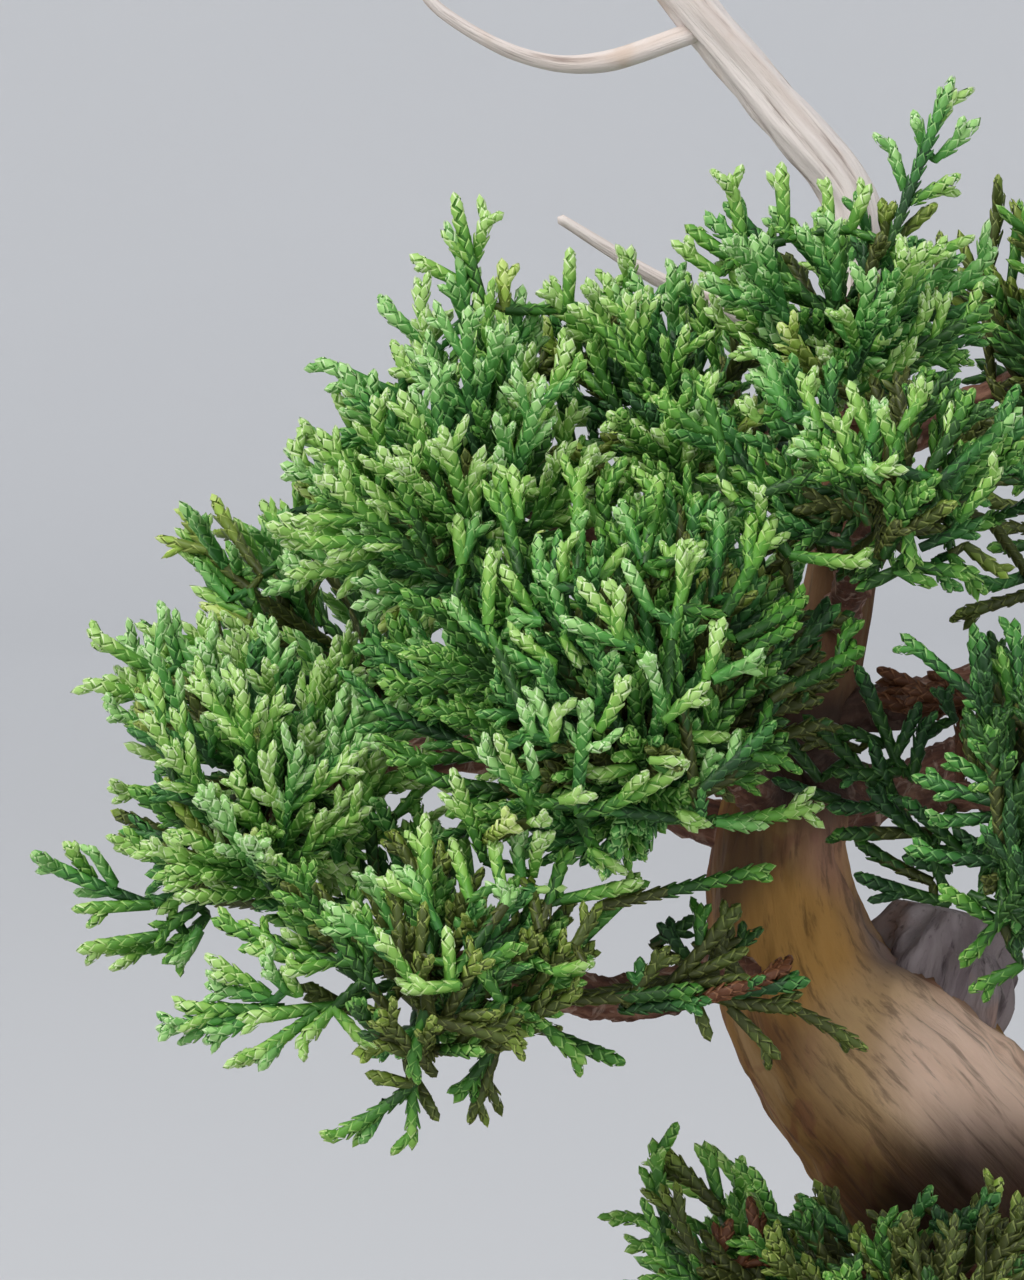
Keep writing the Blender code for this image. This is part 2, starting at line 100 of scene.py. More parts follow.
# The limbs' centrelines and radii, in millimetres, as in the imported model
TRUNK_STATIONS = (
    (19.8, 3.0, 20.0, 9.2),
    (18.8, 2.6, 29.0, 8.7),
    (16.5, 1.8, 39.0, 8.2),
    (11.5, 0.8, 49.0, 8.0),
    (4.0, 0.0, 58.0, 8.0),
    (-2.2, 0.0, 65.0, 6.3),
    (-4.3, 0.5, 73.0, 4.7),
    (-3.2, 1.2, 81.0, 3.5),
    (-1.1, 1.8, 88.0, 2.7),
    (0.2, 2.2, 96.0, 2.3),
    (0.9, 2.6, 104.0, 2.0),
    (0.9, 3.0, 110.0, 1.8),
)
TRUNK_STEPS = 3
DEADWOOD_STEPS = 2
# The roots' lobes, how far they spread, at least as a share, and the height where they start
ROOT_LOBES = 5
ROOT_SPREAD = 1.1
ROOT_LEAST = 0.35
ROOT_TOP = 36.0
DEADWOOD = {
    "dead_top": (
        (0.9, 3.02, 110.4, 1.75),
        (0.8, 3.2, 114.0, 1.75),
        (0.0, 3.4, 117.8, 1.75),
        (-4.3, 3.5, 123.2, 1.7),
        (-10.5, 3.6, 130.4, 1.5),
        (-15.2, 3.8, 136.0, 1.0),
        (-18.0, 4.0, 140.5, 0.35),
    ),
    "dead_side_twig": (
        (-9.0, 3.5, 128.6, 0.75),
        (-15.9, 3.5, 126.3, 0.7),
        (-21.0, 3.5, 126.7, 0.6),
        (-26.7, 3.5, 129.7, 0.45),
        (-29.2, 3.4, 133.2, 0.25),
    ),
    "dead_snag": (
        (0.9, 2.8, 107.0, 0.9),
        (-6.0, 3.2, 109.3, 0.75),
        (-12.5, 3.4, 112.2, 0.6),
        (-18.8, 3.5, 116.0, 0.35),
    ),
    "dead_stub": (
        (4.6, 1.6, 60.5, 5.2),
        (5.9, 2.2, 64.0, 5.1),
        (6.8, 2.6, 67.4, 4.7),
        (7.4, 2.8, 70.0, 3.7),
    ),
}

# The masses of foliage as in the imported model. Last is how much older and darker than the rest the mass is.
Mass = namedtuple("Mass", "name centre radii parent share radius arch age")
MASSES = (
    Mass("front_centre", (-15.5, -30.0, 88.6), (15.0, 11.5, 12.5), "trunk", 0.66, 1.7, 1.0, 0.8),
    Mass("front_low", (-29.2, -32.0, 70.5), (14.5, 9.5, 8.5), "trunk", 0.56, 1.7, -2.5, 0.0),
    Mass("front_twig", (-9.0, -31.0, 70.6), (8.8, 6.5, 6.2), "front_low", 0.50, 0.9, 0.5, 4.0),
    Mass("left", (-39.5, -22.0, 80.9), (12.8, 11.5, 11.5), "trunk", 0.71, 1.7, 1.5, -1.5),
    Mass("upper_left", (-26.0, -23.5, 101.3), (12.3, 12.0, 10.8), "trunk", 0.75, 1.5, 1.5, -1.5),
    Mass("upper_middle", (-13.0, -19.5, 105.8), (8.8, 9.5, 9.0), "trunk", 0.84, 1.2, 1.0, -0.5),
    Mass("upper_right", (-1.9, -23.0, 110.9), (10.8, 9.0, 8.5), "trunk", 0.93, 1.2, 0.5, -0.5),
    Mass("right_middle", (0.3, -31.5, 100.8), (10.5, 8.5, 8.3), "trunk", 0.79, 1.3, 1.0, 1.0),
    Mass("right_front", (8.2, -32.0, 80.6), (10.5, 9.0, 12.0), "trunk", 0.69, 1.4, -1.0, 11.0),
    Mass("far_right", (19.0, -0.5, 109.4), (12.5, 13.0, 10.5), "trunk", 0.90, 1.3, 1.0, 5.5),
    Mass("low_front", (1.2, -18.0, 48.3), (17.0, 11.5, 9.0), "trunk", 0.31, 1.9, 0.0, 5.0),
    Mass("right_outer", (33.5, -12.0, 92.5), (16.0, 15.0, 12.0), "trunk", 0.72, 1.6, 1.0, 0.5),
    Mass("right_low", (37.0, 4.0, 68.5), (15.5, 15.0, 10.5), "trunk", 0.34, 2.4, 1.0, 1.0),
    Mass("back_right", (28.0, 23.0, 89.0), (14.0, 14.0, 13.0), "trunk", 0.64, 1.7, 1.0, 0.5),
    Mass("back_left", (-14.0, 22.0, 88.5), (16.0, 14.0, 12.5), "trunk", 0.68, 1.6, 1.5, 0.5),
    Mass("back_top", (-6.0, 15.0, 103.0), (10.5, 10.5, 9.5), "trunk", 0.82, 1.2, 1.0, 0.5),
    Mass("far_left", (-34.5, 5.5, 87.0), (14.5, 14.5, 11.5), "trunk", 0.63, 1.6, 2.0, 1.0),
    Mass("low_back", (2.0, 18.5, 44.5), (15.0, 12.0, 8.5), "trunk", 0.27, 1.9, 0.5, 1.0),
)
# Where the longest shoots of a mass end
LEADERS = {
    "front_centre": ((-1.1, -32.0, 89.9), (-3.7, -38.0, 81.2)),
    "front_low": ((-42.8, -33.0, 67.3), (-33.0, -35.0, 60.7), (-26.5, -31.5, 60.2)),
    "front_twig": ((-1.0, -34.0, 66.3), (-15.5, -33.0, 65.2)),
    "left": ((-51.4, -22.0, 76.2), (-48.2, -20.0, 90.2)),
    "upper_left": ((-25.4, -24.0, 117.4), (-33.5, -22.0, 107.5)),
    "upper_middle": ((-16.5, -20.0, 113.9),),
    "upper_right": ((4.7, -26.0, 124.5), (-6.8, -19.0, 118.6)),
    "right_front": ((1.3, -36.0, 91.0),),
    "far_left": ((-43.3, -6.0, 97.5),),
    "low_front": ((-12.4, -17.0, 57.3),),
}
FRONT_MASSES = (
    "front_centre", "front_low", "front_twig", "left", "upper_left", "upper_middle",
    "upper_right", "right_middle", "right_front", "low_front",
)
# Where most of the shoots in front are marked one by one, the others form a backdrop: how much older and
# how much sparser they are, and how far back those that face the viewer stand, as a share of the mass's
# half sizes
BACKDROPS = {
    "front_centre": (4.0, 1.25, 0.22),
    "front_low": (5.0, 1.6, 0.25),
    "right_middle": (4.5, 1.8, 0.25),
    "left": (-0.5, 1.0, 0.1),
}
NO_BACKDROP = (0.0, 1.0, 0.0)
# How a bough leaves its limb and wanders, and where its twigs part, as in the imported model
BOUGH_STEPS = 6
TIP_RADIUS_SHARE = 0.6
FIRST_PULL = 0.4
LAST_PULL = 0.25
WANDER = 0.35
WANDER_TURNS = (5, 7, 6)
FOOT_SHARE = 0.88
HUB_PULL = 0.34
HUB_RADIUS_SHARE = 0.8
TURN = math.pi * (3 - math.sqrt(5))

# Places where the photograph shows sky between the masses: centre and half sizes in pixels
SKY_GAPS = (
    (682, 862, 32, 36),
    (893, 885, 46, 44),
    (945, 600, 72, 36),
    (850, 342, 11, 11),
    (214, 915, 22, 28),
    (462, 766, 24, 14),
    (492, 790, 12, 12),
    (433, 797, 9, 14),
    (880, 815, 26, 14),
    (697, 1185, 14, 42),
    (856, 522, 40, 28),
    (934, 545, 24, 14),
)
# Places where the photograph's foliage is darker or lighter, painted as shade or light on the shoots: centre and
# half sizes in pixels, and how many pairs older the shoots' tones are made there, which darkens them as painted
# shade, or younger where negative, as painted light
SHADES = (
    (990, 350, 52, 64, 7.0),
    (635, 365, 72, 50, 4.0),
    (825, 620, 55, 60, 7.0),
    (815, 720, 52, 64, 8.0),
    (960, 1232, 85, 50, 4.0),
    (262, 792, 64, 54, -3.0),
    (440, 660, 46, 46, -1.5),
)
# The edge of the dense foliage in the photograph, in pixels. Right of the picture it lies open.
DENSE_EDGE = (
    (115, 835), (112, 790), (150, 765), (108, 705), (88, 680), (128, 662), (92, 630), (160, 602),
    (200, 612), (212, 585), (180, 505), (228, 497), (275, 505), (288, 455), (305, 425), (335, 425),
    (320, 362), (350, 357), (392, 385), (380, 308), (420, 312), (412, 258), (440, 268), (448, 192),
    (470, 197), (478, 262), (505, 280), (545, 292), (566, 252), (585, 282), (612, 280), (630, 250),
    (645, 290), (670, 262), (700, 262), (735, 215), (750, 225), (780, 190), (798, 225), (828, 200),
    (850, 215), (880, 205), (900, 232), (960, 240), (1000, 200), (1300, 150), (1300, 1100), (1024, 1010),
    (1000, 930), (975, 860), (965, 760), (960, 700), (985, 650), (940, 590), (860, 590), (830, 620),
    (805, 650), (800, 700), (790, 760), (760, 800), (700, 822), (655, 845), (640, 890), (640, 930),
    (600, 960), (575, 1000), (560, 1040), (520, 1045), (480, 1060), (440, 1060), (420, 1080), (395, 1070),
    (375, 1060), (350, 1030), (345, 985), (330, 950), (300, 945), (290, 930), (240, 900), (200, 890),
    (185, 960), (150, 955), (150, 900),
)
# The low pad's outline in the picture, from this height down
PAD_TOP = 1125
PAD_EDGE = (
    (640, 1300), (636, 1250), (610, 1222), (614, 1206), (642, 1204), (648, 1142), (668, 1142), (682, 1216),
    (694, 1180), (708, 1144), (732, 1150), (752, 1168), (800, 1172), (850, 1190), (880, 1208), (905, 1204),
    (935, 1186), (965, 1198), (1000, 1180), (1060, 1160), (1300, 1180), (1300, 1300),
)

# Single shoots that stand out in the photograph, by mass: their depth and age, then for each where it
# leaves its twig and where it ends, in pixels of the picture, and how branched it is
SHOOTS = {
    "front_low": (
        (-33.0, 0.0, (
            (334, 1006, 240, 1019, 0.3), (262, 1014, 160, 1029, 0.6), (262, 1012, 207, 1041, 0.3),
            (285, 1008, 178, 1006, 0.5), (275, 1000, 208, 985, 0.3), (270, 995, 208, 957, 0.5),
            (285, 990, 262, 958, 0.3), (300, 995, 283, 968, 0.2), (318, 1012, 237, 1065, 0.6),
            (285, 1032, 261, 1068, 0.0), (334, 1008, 298, 1046, 0.0), (334, 1008, 365, 1045, 0.0),
            (385, 962, 247, 949, 0.5), (310, 950, 283, 931, 0.0), (345, 950, 323, 902, 0.4),
            (370, 960, 355, 905, 0.4), (395, 930, 369, 870, 0.5), (480, 975, 523, 945, 0.1),
        )),
        (-32.0, 4.0, (
            (350, 945, 209, 921, 0.3), (425, 1030, 356, 1053, 0.2), (405, 1045, 366, 1008, 0.2),
            (412, 1085, 369, 1074, 0.1), (415, 1083, 326, 1140, 0.5), (380, 1112, 362, 1141, 0.0),
            (412, 1083, 412, 1146, 0.2), (465, 1030, 523, 1043, 0.2), (530, 1010, 584, 1062, 0.2),
            (560, 962, 639, 880, 0.2),
        )),
        (-30.0, 8.0, (
            (355, 1012, 308, 985, 0.3), (415, 1080, 436, 1118, 0.1), (500, 1035, 456, 1100, 0.3),
            (500, 1035, 470, 1120, 0.3), (545, 1030, 622, 1062, 0.2),
        )),
        (-38.5, -0.5, (
            (552, 972, 592, 964, 0.0), (535, 890, 563, 888, 0.1), (510, 900, 488, 885, 0.0),
            (505, 905, 506, 887, 0.0), (521, 880, 516, 832, 0.0), (450, 980, 447, 930, 0.2),
            (430, 960, 425, 815, 0.2), (470, 900, 452, 840, 0.2), (505, 900, 490, 830, 0.2),
            (440, 930, 408, 868, 0.3), (415, 985, 378, 930, 0.3), (460, 985, 405, 990, 0.2),
            (395, 960, 330, 905, 0.3), (420, 900, 380, 880, 0.2), (560, 900, 640, 882, 0.1),
        )),
        (-34.5, 5.5, (
            (598, 906, 772, 867, 0.0),
        )),
        (-38.0, 6.0, (
            (452, 972, 525, 946, 0.0), (430, 1020, 523, 1043, 0.1), (461, 1016, 497, 1013, 0.1),
            (400, 955, 396, 887, 0.1), (420, 952, 424, 905, 0.1), (548, 905, 566, 850, 0.1),
            (540, 930, 530, 880, 0.0), (575, 945, 600, 905, 0.0), (425, 1010, 410, 1075, 0.2),
            (500, 1000, 478, 965, 0.1),
        )),
    ),
    "front_twig": (
        (-31.5, 9.0, (
            (560, 1000, 700, 988, 0.0), (690, 990, 800, 1008, 0.2), (663, 991, 738, 906, 0.0),
            (700, 945, 701, 907, 0.0), (625, 1005, 667, 949, 0.0), (620, 1010, 710, 1000, 0.0),
            (680, 1000, 807, 981, 0.15), (785, 1003, 864, 1048, 0.1), (730, 1008, 778, 1057, 0.0),
            (695, 1000, 709, 1037, 0.0), (640, 1005, 640, 960, 0.0), (690, 975, 745, 950, 0.2),
            (680, 985, 748, 978, 0.1),
        )),
        (-32.4, 60.0, (
            (706, 1000, 788, 968, 0.0), (690, 1004, 742, 985, 0.0),
        )),
        (-22.0, 14.0, (
            (700, 985, 732, 928, 0.3), (742, 975, 706, 932, 0.3), (652, 945, 694, 918, 0.2),
            (690, 960, 660, 925, 0.2), (720, 960, 760, 930, 0.3),
        )),
    ),
    "low_front": (
        (-20.0, 60.0, (
            (762, 1262, 750, 1200, 0.3), (740, 1265, 764, 1215, 0.2), (716, 1262, 730, 1222, 0.2),
        )),
        (-17.0, 4.0, (
            (668, 1245, 653, 1142, 0.6), (662, 1222, 612, 1214, 0.3), (668, 1235, 628, 1250, 0.3),
            (722, 1215, 706, 1145, 0.4), (738, 1210, 742, 1158, 0.3), (905, 1240, 930, 1188, 0.3),
            (985, 1235, 1000, 1180, 0.4),
        )),
    ),
    "right_front": (
        (-35.0, 5.2, (
            (985, 705, 904, 636, 0.1), (978, 690, 974, 627, 0.0), (1012, 718, 967, 702, 0.2),
            (1003, 790, 948, 756, 0.3), (1003, 775, 971, 741, 0.1), (1003, 785, 1001, 719, 0.2),
            (1012, 806, 916, 778, 0.2), (1012, 782, 971, 788, 0.1), (1003, 815, 931, 822, 0.2),
            (1008, 862, 907, 849, 0.0), (1000, 812, 990, 835, 0.0), (1017, 905, 1011, 871, 0.0),
            (1020, 903, 1005, 919, 0.0), (1003, 925, 941, 887, 0.1), (1003, 915, 963, 965, 0.1),
            (1022, 965, 972, 989, 0.0), (1010, 700, 1000, 650, 0.4), (1020, 690, 1015, 622, 0.5),
        )),
        (-22.0, 60.0, (
            (960, 708, 880, 670, 0.3), (990, 702, 905, 690, 0.3), (940, 716, 866, 694, 0.3),
            (1000, 716, 930, 674, 0.3),
        )),
        (-26.0, 13.0, (
            (930, 850, 805, 716, 0.0), (895, 758, 858, 668, 0.0), (895, 757, 919, 705, 0.0),
            (912, 780, 925, 720, 0.0), (900, 772, 835, 773, 0.0), (890, 806, 830, 807, 0.0),
            (930, 832, 835, 834, 0.0), (950, 903, 857, 876, 0.2), (940, 850, 870, 790, 0.0),
            (885, 745, 842, 728, 0.0), (860, 750, 800, 735, 0.1), (900, 810, 872, 742, 0.0),
            (960, 850, 905, 800, 0.1), (950, 870, 905, 858, 0.1), (820, 780, 768, 712, 0.1),
            (840, 800, 775, 780, 0.0), (1010, 690, 990, 634, 0.2), (955, 720, 940, 690, 0.0),
            (932, 882, 857, 841, 0.0), (1000, 862, 955, 830, 0.2), (1012, 842, 965, 846, 0.2),
            (990, 800, 955, 790, 0.1),
        )),
    ),
    "front_centre": (
        (-40.5, -1.0, (
            (700, 822, 822, 806, 0.3), (715, 822, 765, 826, 0.0), (672, 640, 694, 544, 0.3),
            (724, 615, 775, 516, 0.7), (664, 720, 707, 684, 0.0), (706, 680, 723, 620, 0.2),
            (712, 680, 761, 657, 0.0), (702, 788, 774, 724, 0.3), (752, 755, 788, 760, 0.0),
            (577, 806, 589, 701, 0.2), (578, 816, 688, 764, 0.2), (664, 715, 648, 655, 0.1),
            (600, 730, 628, 678, 0.1), (678, 812, 695, 830, 0.0), (735, 640, 805, 600, 0.3),
            (745, 650, 799, 625, 0.1), (585, 748, 608, 745, 0.0), (530, 802, 497, 736, 0.4),
            (532, 800, 480, 750, 0.3), (533, 735, 519, 700, 0.1), (552, 740, 537, 692, 0.1),
            (552, 740, 558, 706, 0.0), (488, 625, 491, 551, 0.1), (650, 610, 625, 562, 0.1),
            (635, 645, 580, 580, 0.2), (634, 648, 563, 619, 0.2), (618, 640, 620, 590, 0.0),
            (560, 800, 594, 796, 0.0), (650, 760, 684, 762, 0.1), (600, 860, 594, 866, 0.0),
            (590, 850, 625, 872, 0.1), (530, 822, 549, 821, 0.0), (482, 842, 513, 818, 0.1),
            (484, 860, 453, 771, 0.2), (533, 875, 538, 833, 0.0), (535, 776, 528, 745, 0.0),
        )),
        (-38.5, 1.0, (
            (578, 570, 577, 470, 0.2), (578, 590, 578, 510, 0.0), (645, 565, 660, 476, 0.3),
            (642, 560, 622, 502, 0.1), (712, 600, 721, 504, 0.1), (600, 580, 625, 547, 0.1),
            (664, 578, 674, 548, 0.0), (540, 585, 538, 537, 0.1), (564, 582, 561, 543, 0.1),
            (572, 640, 549, 578, 0.2), (533, 612, 503, 568, 0.1), (492, 645, 447, 602, 0.2),
            (552, 676, 497, 647, 0.1), (555, 665, 512, 633, 0.1), (515, 690, 506, 668, 0.0),
            (542, 622, 510, 619, 0.0), (604, 695, 603, 661, 0.0), (563, 636, 578, 665, 0.1),
            (520, 575, 497, 467, 0.2), (520, 520, 513, 468, 0.0), (462, 565, 458, 517, 0.2),
            (462, 563, 478, 515, 0.1), (678, 735, 729, 737, 0.1), (636, 768, 589, 774, 0.0),
            (700, 790, 712, 751, 0.0), (770, 700, 862, 650, 0.2), (700, 660, 808, 598, 0.3),
            (690, 800, 785, 735, 0.3),
        )),
        (-31.0, 11.0, (
            (720, 690, 836, 684, 0.2), (760, 650, 851, 614, 0.1), (745, 700, 850, 665, 0.1),
            (760, 740, 830, 722, 0.1), (730, 720, 820, 700, 0.1), (735, 670, 822, 655, 0.1),
        )),
    ),
    "right_middle": (
        (-37.5, 0.5, (
            (790, 555, 869, 563, 0.0), (760, 520, 763, 488, 0.1), (735, 500, 720, 478, 0.1),
            (830, 470, 905, 470, 0.2), (899, 432, 930, 385, 0.2), (870, 442, 885, 402, 0.2),
            (818, 455, 798, 440, 0.1), (850, 452, 837, 420, 0.1), (842, 470, 827, 441, 0.1),
            (820, 440, 806, 420, 0.1), (940, 480, 1020, 410, 0.2), (930, 470, 972, 392, 0.3),
            (900, 460, 880, 410, 0.3), (870, 440, 850, 385, 0.3), (820, 430, 800, 375, 0.3),
            (790, 420, 765, 352, 0.3), (760, 420, 738, 402, 0.2), (720, 440, 700, 378, 0.2),
            (700, 430, 655, 398, 0.2), (840, 470, 795, 440, 0.2), (880, 480, 866, 470, 0.0),
            (960, 520, 1000, 470, 0.2),
        )),
        (-36.5, 5.0, (
            (902, 478, 910, 568, 0.0), (894, 570, 934, 584, 0.0), (908, 566, 976, 572, 0.0),
            (898, 570, 860, 588, 0.0), (950, 492, 968, 445, 0.1), (925, 490, 985, 462, 0.1),
            (905, 505, 921, 488, 0.0),
        )),
        (-27.0, 13.0, (
            (840, 478, 812, 512, 0.2), (905, 500, 886, 552, 0.1), (830, 560, 806, 520, 0.2),
            (960, 510, 915, 524, 0.2), (880, 480, 905, 540, 0.2), (800, 500, 822, 545, 0.2),
            (990, 520, 940, 508, 0.2),
        )),
        (-22.0, 8.0, (
            (1040, 590, 958, 613, 0.3), (1045, 570, 985, 588, 0.2), (1040, 530, 975, 520, 0.5),
            (1030, 545, 990, 548, 0.3), (1035, 510, 985, 500, 0.4),
        )),
        (-30.0, 5.0, (
            (1040, 500, 1010, 450, 0.4), (950, 555, 985, 592, 0.2), (935, 560, 950, 590, 0.1),
            (965, 545, 1005, 575, 0.3),
        )),
        (-26.0, 9.0, (
            (762, 575, 748, 515, 0.3), (775, 548, 735, 520, 0.2), (790, 590, 780, 545, 0.2),
        )),
    ),
    "upper_left": (
        (-24.0, -0.5, (
            (335, 480, 284, 466, 0.4), (325, 500, 290, 442, 0.4), (350, 460, 300, 430, 0.3),
            (482, 300, 455, 196, 0.2), (464, 284, 413, 257, 0.1), (474, 262, 487, 214, 0.1),
            (505, 310, 502, 262, 0.2), (440, 350, 380, 306, 0.3), (430, 380, 392, 372, 0.2),
            (400, 395, 319, 361, 0.4), (385, 410, 345, 392, 0.2), (560, 310, 546, 284, 0.2),
            (568, 305, 570, 251, 0.2), (600, 315, 588, 280, 0.2),
        )),
    ),
    "left": (
        (-25.5, 4.0, (
            (375, 880, 364, 770, 0.4), (404, 890, 380, 800, 0.4), (432, 886, 404, 822, 0.4),
            (396, 815, 434, 775, 0.3), (360, 900, 350, 842, 0.4), (420, 850, 416, 796, 0.2),
            (450, 870, 436, 824, 0.3), (340, 870, 330, 815, 0.4), (470, 880, 462, 830, 0.3),
            (350, 800, 352, 776, 0.2), (385, 900, 340, 880, 0.3),
        )),
        (-23.5, 6.0, (
            (395, 910, 380, 850, 0.3), (420, 978, 404, 920, 0.3), (456, 918, 442, 860, 0.3),
            (310, 905, 255, 904, 0.3), (322, 926, 268, 918, 0.2),
        )),
        (-21.0, 7.0, (
            (205, 900, 160, 932, 0.3), (198, 885, 150, 905, 0.3), (192, 940, 165, 962, 0.2),
            (208, 915, 176, 950, 0.2),
        )),
        (-20.5, -0.5, (
            (165, 675, 90, 631, 0.4), (170, 700, 86, 682, 0.3), (180, 665, 160, 603, 0.3),
            (215, 665, 200, 613, 0.3), (170, 735, 106, 706, 0.4), (180, 795, 110, 789, 0.3),
            (165, 760, 128, 745, 0.2), (190, 945, 84, 946, 0.2),
        )),
        (-22.0, 1.0, (
            (150, 905, 33, 856, 0.5), (95, 880, 66, 844, 0.0), (115, 885, 91, 848, 0.0),
            (150, 905, 75, 909, 0.3), (160, 935, 81, 950, 0.2), (200, 880, 160, 912, 0.1),
            (190, 830, 117, 848, 0.3), (200, 930, 180, 965, 0.4),
        )),
    ),
    "upper_middle": (
        (-17.0, 10.0, (
            (562, 402, 545, 350, 0.3), (572, 445, 560, 392, 0.3), (602, 472, 590, 420, 0.3),
            (578, 362, 552, 318, 0.3), (540, 348, 562, 300, 0.3), (530, 380, 552, 360, 0.3),
        )),
        (-27.0, 5.0, (
            (600, 480, 575, 445, 0.3), (560, 480, 585, 450, 0.2), (600, 520, 612, 470, 0.2),
            (560, 520, 562, 486, 0.2), (620, 500, 640, 470, 0.2),
        )),
        (-20.0, 0.0, (
            (625, 310, 631, 249, 0.3), (612, 315, 608, 276, 0.2), (650, 320, 648, 288, 0.2),
            (690, 300, 668, 262, 0.3),
        )),
    ),
    "far_left": (
        (-8.0, 1.0, (
            (250, 590, 181, 506, 0.4), (262, 575, 214, 498, 0.3), (300, 550, 262, 502, 0.3),
            (350, 500, 288, 452, 0.4), (345, 470, 303, 422, 0.3), (230, 600, 196, 560, 0.2),
            (255, 605, 188, 552, 0.4), (262, 620, 194, 588, 0.4), (235, 590, 186, 530, 0.3),
            (250, 625, 204, 606, 0.3),
        )),
    ),
    "upper_right": (
        (-25.0, 0.0, (
            (890, 245, 952, 80, 0.0), (925, 150, 914, 113, 0.0), (935, 160, 977, 121, 0.0),
            (905, 190, 890, 141, 0.0), (940, 120, 955, 92, 0.0), (903, 205, 958, 176, 0.0),
            (850, 230, 869, 188, 0.3), (830, 230, 827, 181, 0.1), (785, 240, 781, 166, 0.3),
            (745, 250, 730, 177, 0.3), (720, 275, 674, 243, 0.2),
        )),
        (-24.0, 4.0, (
            (897, 238, 934, 206, 0.0), (750, 268, 688, 227, 0.0), (770, 262, 706, 218, 0.2),
            (775, 252, 726, 205, 0.2), (870, 240, 856, 194, 0.1), (888, 238, 882, 202, 0.1),
        )),
    ),
    "far_right": (
        (-3.0, 6.5, (
            (985, 290, 1000, 190, 0.6), (1010, 290, 1020, 205, 0.5), (1000, 330, 960, 235, 0.5),
            (1020, 380, 985, 320, 0.5), (1020, 420, 990, 380, 0.4), (940, 290, 940, 235, 0.3),
        )),
    ),
}
# Where more bunches fill the space between masses, as the photograph shows: pixels across and down, and
# depth
FILLS = {
    "front_centre": (
        (400, 770, -29), (430, 812, -31), (480, 830, -32), (520, 850, -33), (565, 862, -34),
        (610, 850, -36), (640, 835, -36), (690, 800, -37), (730, 770, -36), (770, 730, -34),
        (790, 690, -33), (795, 650, -32), (360, 700, -28), (380, 640, -29), (420, 560, -29),
        (500, 500, -31), (600, 480, -33), (700, 500, -33),
    ),
    "front_low": (
        (370, 890, -32), (420, 870, -33), (470, 880, -34), (520, 890, -35), (565, 920, -34),
        (590, 960, -33), (300, 860, -28), (250, 850, -26), (560, 1000, -32), (460, 1040, -32),
    ),
    "left": (
        (240, 800, -21), (300, 800, -22), (200, 860, -22), (330, 740, -23), (260, 700, -24),
        (120, 780, -22),
    ),
    "upper_left": (
        (420, 420, -28), (480, 440, -27), (520, 380, -25), (540, 320, -22), (360, 480, -26),
        (300, 520, -22),
    ),
    "upper_middle": (
        (600, 330, -22), (660, 360, -25), (700, 400, -27), (640, 430, -27), (560, 420, -26),
        (620, 290, -19), (577, 455, -27), (604, 442, -25),
    ),
    "upper_right": (
        (760, 330, -26), (820, 360, -27), (900, 330, -26), (720, 300, -24), (850, 402, -25),
        (828, 384, -25), (874, 392, -25),
    ),
    "right_middle": (
        (730, 470, -33), (760, 500, -32), (800, 480, -28), (980, 490, -29), (1010, 440, -31),
        (1000, 520, -27), (700, 430, -31), (850, 432, -30), (832, 408, -29), (872, 440, -29),
    ),
    "far_right": (
        (985, 260, -2), (1010, 300, -3), (1012, 380, -4), (990, 340, -3), (1015, 440, -5), (960, 270, -2),
    ),
}


def smooth_path(stations, steps):
    """Points of a Catmull-Rom curve through the stations, (x, y, z, radius), with so many steps a span."""
    points = [Vector(s) for s in stations]
    ends = [points[0] * 2 - points[1], *points, points[-1] * 2 - points[-2]]
    path = []
    for before, start, end, after in zip(ends, ends[1:], ends[2:], ends[3:]):
        square = 2 * before - 5 * start + 4 * end - after
        cube = 3 * start - before - 3 * end + after
        for k in range(steps):
            t = k / steps
            path.append(0.5 * (2 * start + (end - before) * t + square * t**2 + cube * t**3))
    return [*path, points[-1]]


def arc_point(path, share):
    """The point and radius at a share of the path's length."""
    steps = [(b.xyz - a.xyz).length for a, b in zip(path, path[1:])]
    left = share * sum(steps)
    for start, end, step in zip(path, path[1:], steps):
        if left <= step:
            return start.lerp(end, left / step)
        left -= step
    return path[-1].copy()


def share_out(mass, point):
    """How far out the point lies, as a share of the mass's half sizes."""
    return math.sqrt(sum(((point[i] - mass.centre[i]) / mass.radii[i]) ** 2 for i in range(3)))


def point_out(mass, direction, share):
    """The point that lies that far out from the mass's centre."""
    return Vector(mass.centre) + Vector([direction[i] * mass.radii[i] * share for i in range(3)])


def foot_and_hub(mass, root):
    """Where the bough ends at the edge of the mass's space, and where its twigs part, inside it."""
    centre = Vector(mass.centre)
    edge = centre - (centre - root) * (FOOT_SHARE / share_out(mass, root))
    return edge, centre.lerp(edge, HUB_PULL)


def bough_path(mass, paths):
    """A bough from its parent limb's centreline to the edge of the mass's space, as (x, y, z, radius)."""
    root = arc_point(paths[mass.parent], mass.share).xyz
    foot, hub = foot_and_hub(mass, root)
    reach = (foot - root).length
    outward = Vector((foot.x - root.x, foot.y - root.y, 0)).normalized()
    first = root + outward * reach * FIRST_PULL + Vector((0, 0, mass.arch))
    second = foot - (hub - foot).normalized() * reach * LAST_PULL + Vector((0, 0, mass.arch))
    path = []
    for k in range(BOUGH_STEPS + 1):
        t = k / BOUGH_STEPS
        along = root * (1 - t) ** 3 + 3 * first * t * (1 - t) ** 2
        along = along + 3 * second * t**2 * (1 - t) + foot * t**3
        wander = math.sin(t * math.pi) * WANDER
        wide, deep, high = (turns * t for turns in WANDER_TURNS)
        swing = Vector((math.sin(wide + mass.arch), math.cos(deep), math.sin(high + mass.share))) * wander
        radius = mass.radius * (1 - (1 - TIP_RADIUS_SHARE) * t)
        path.append(Vector((*(along + swing), radius)))
    return path


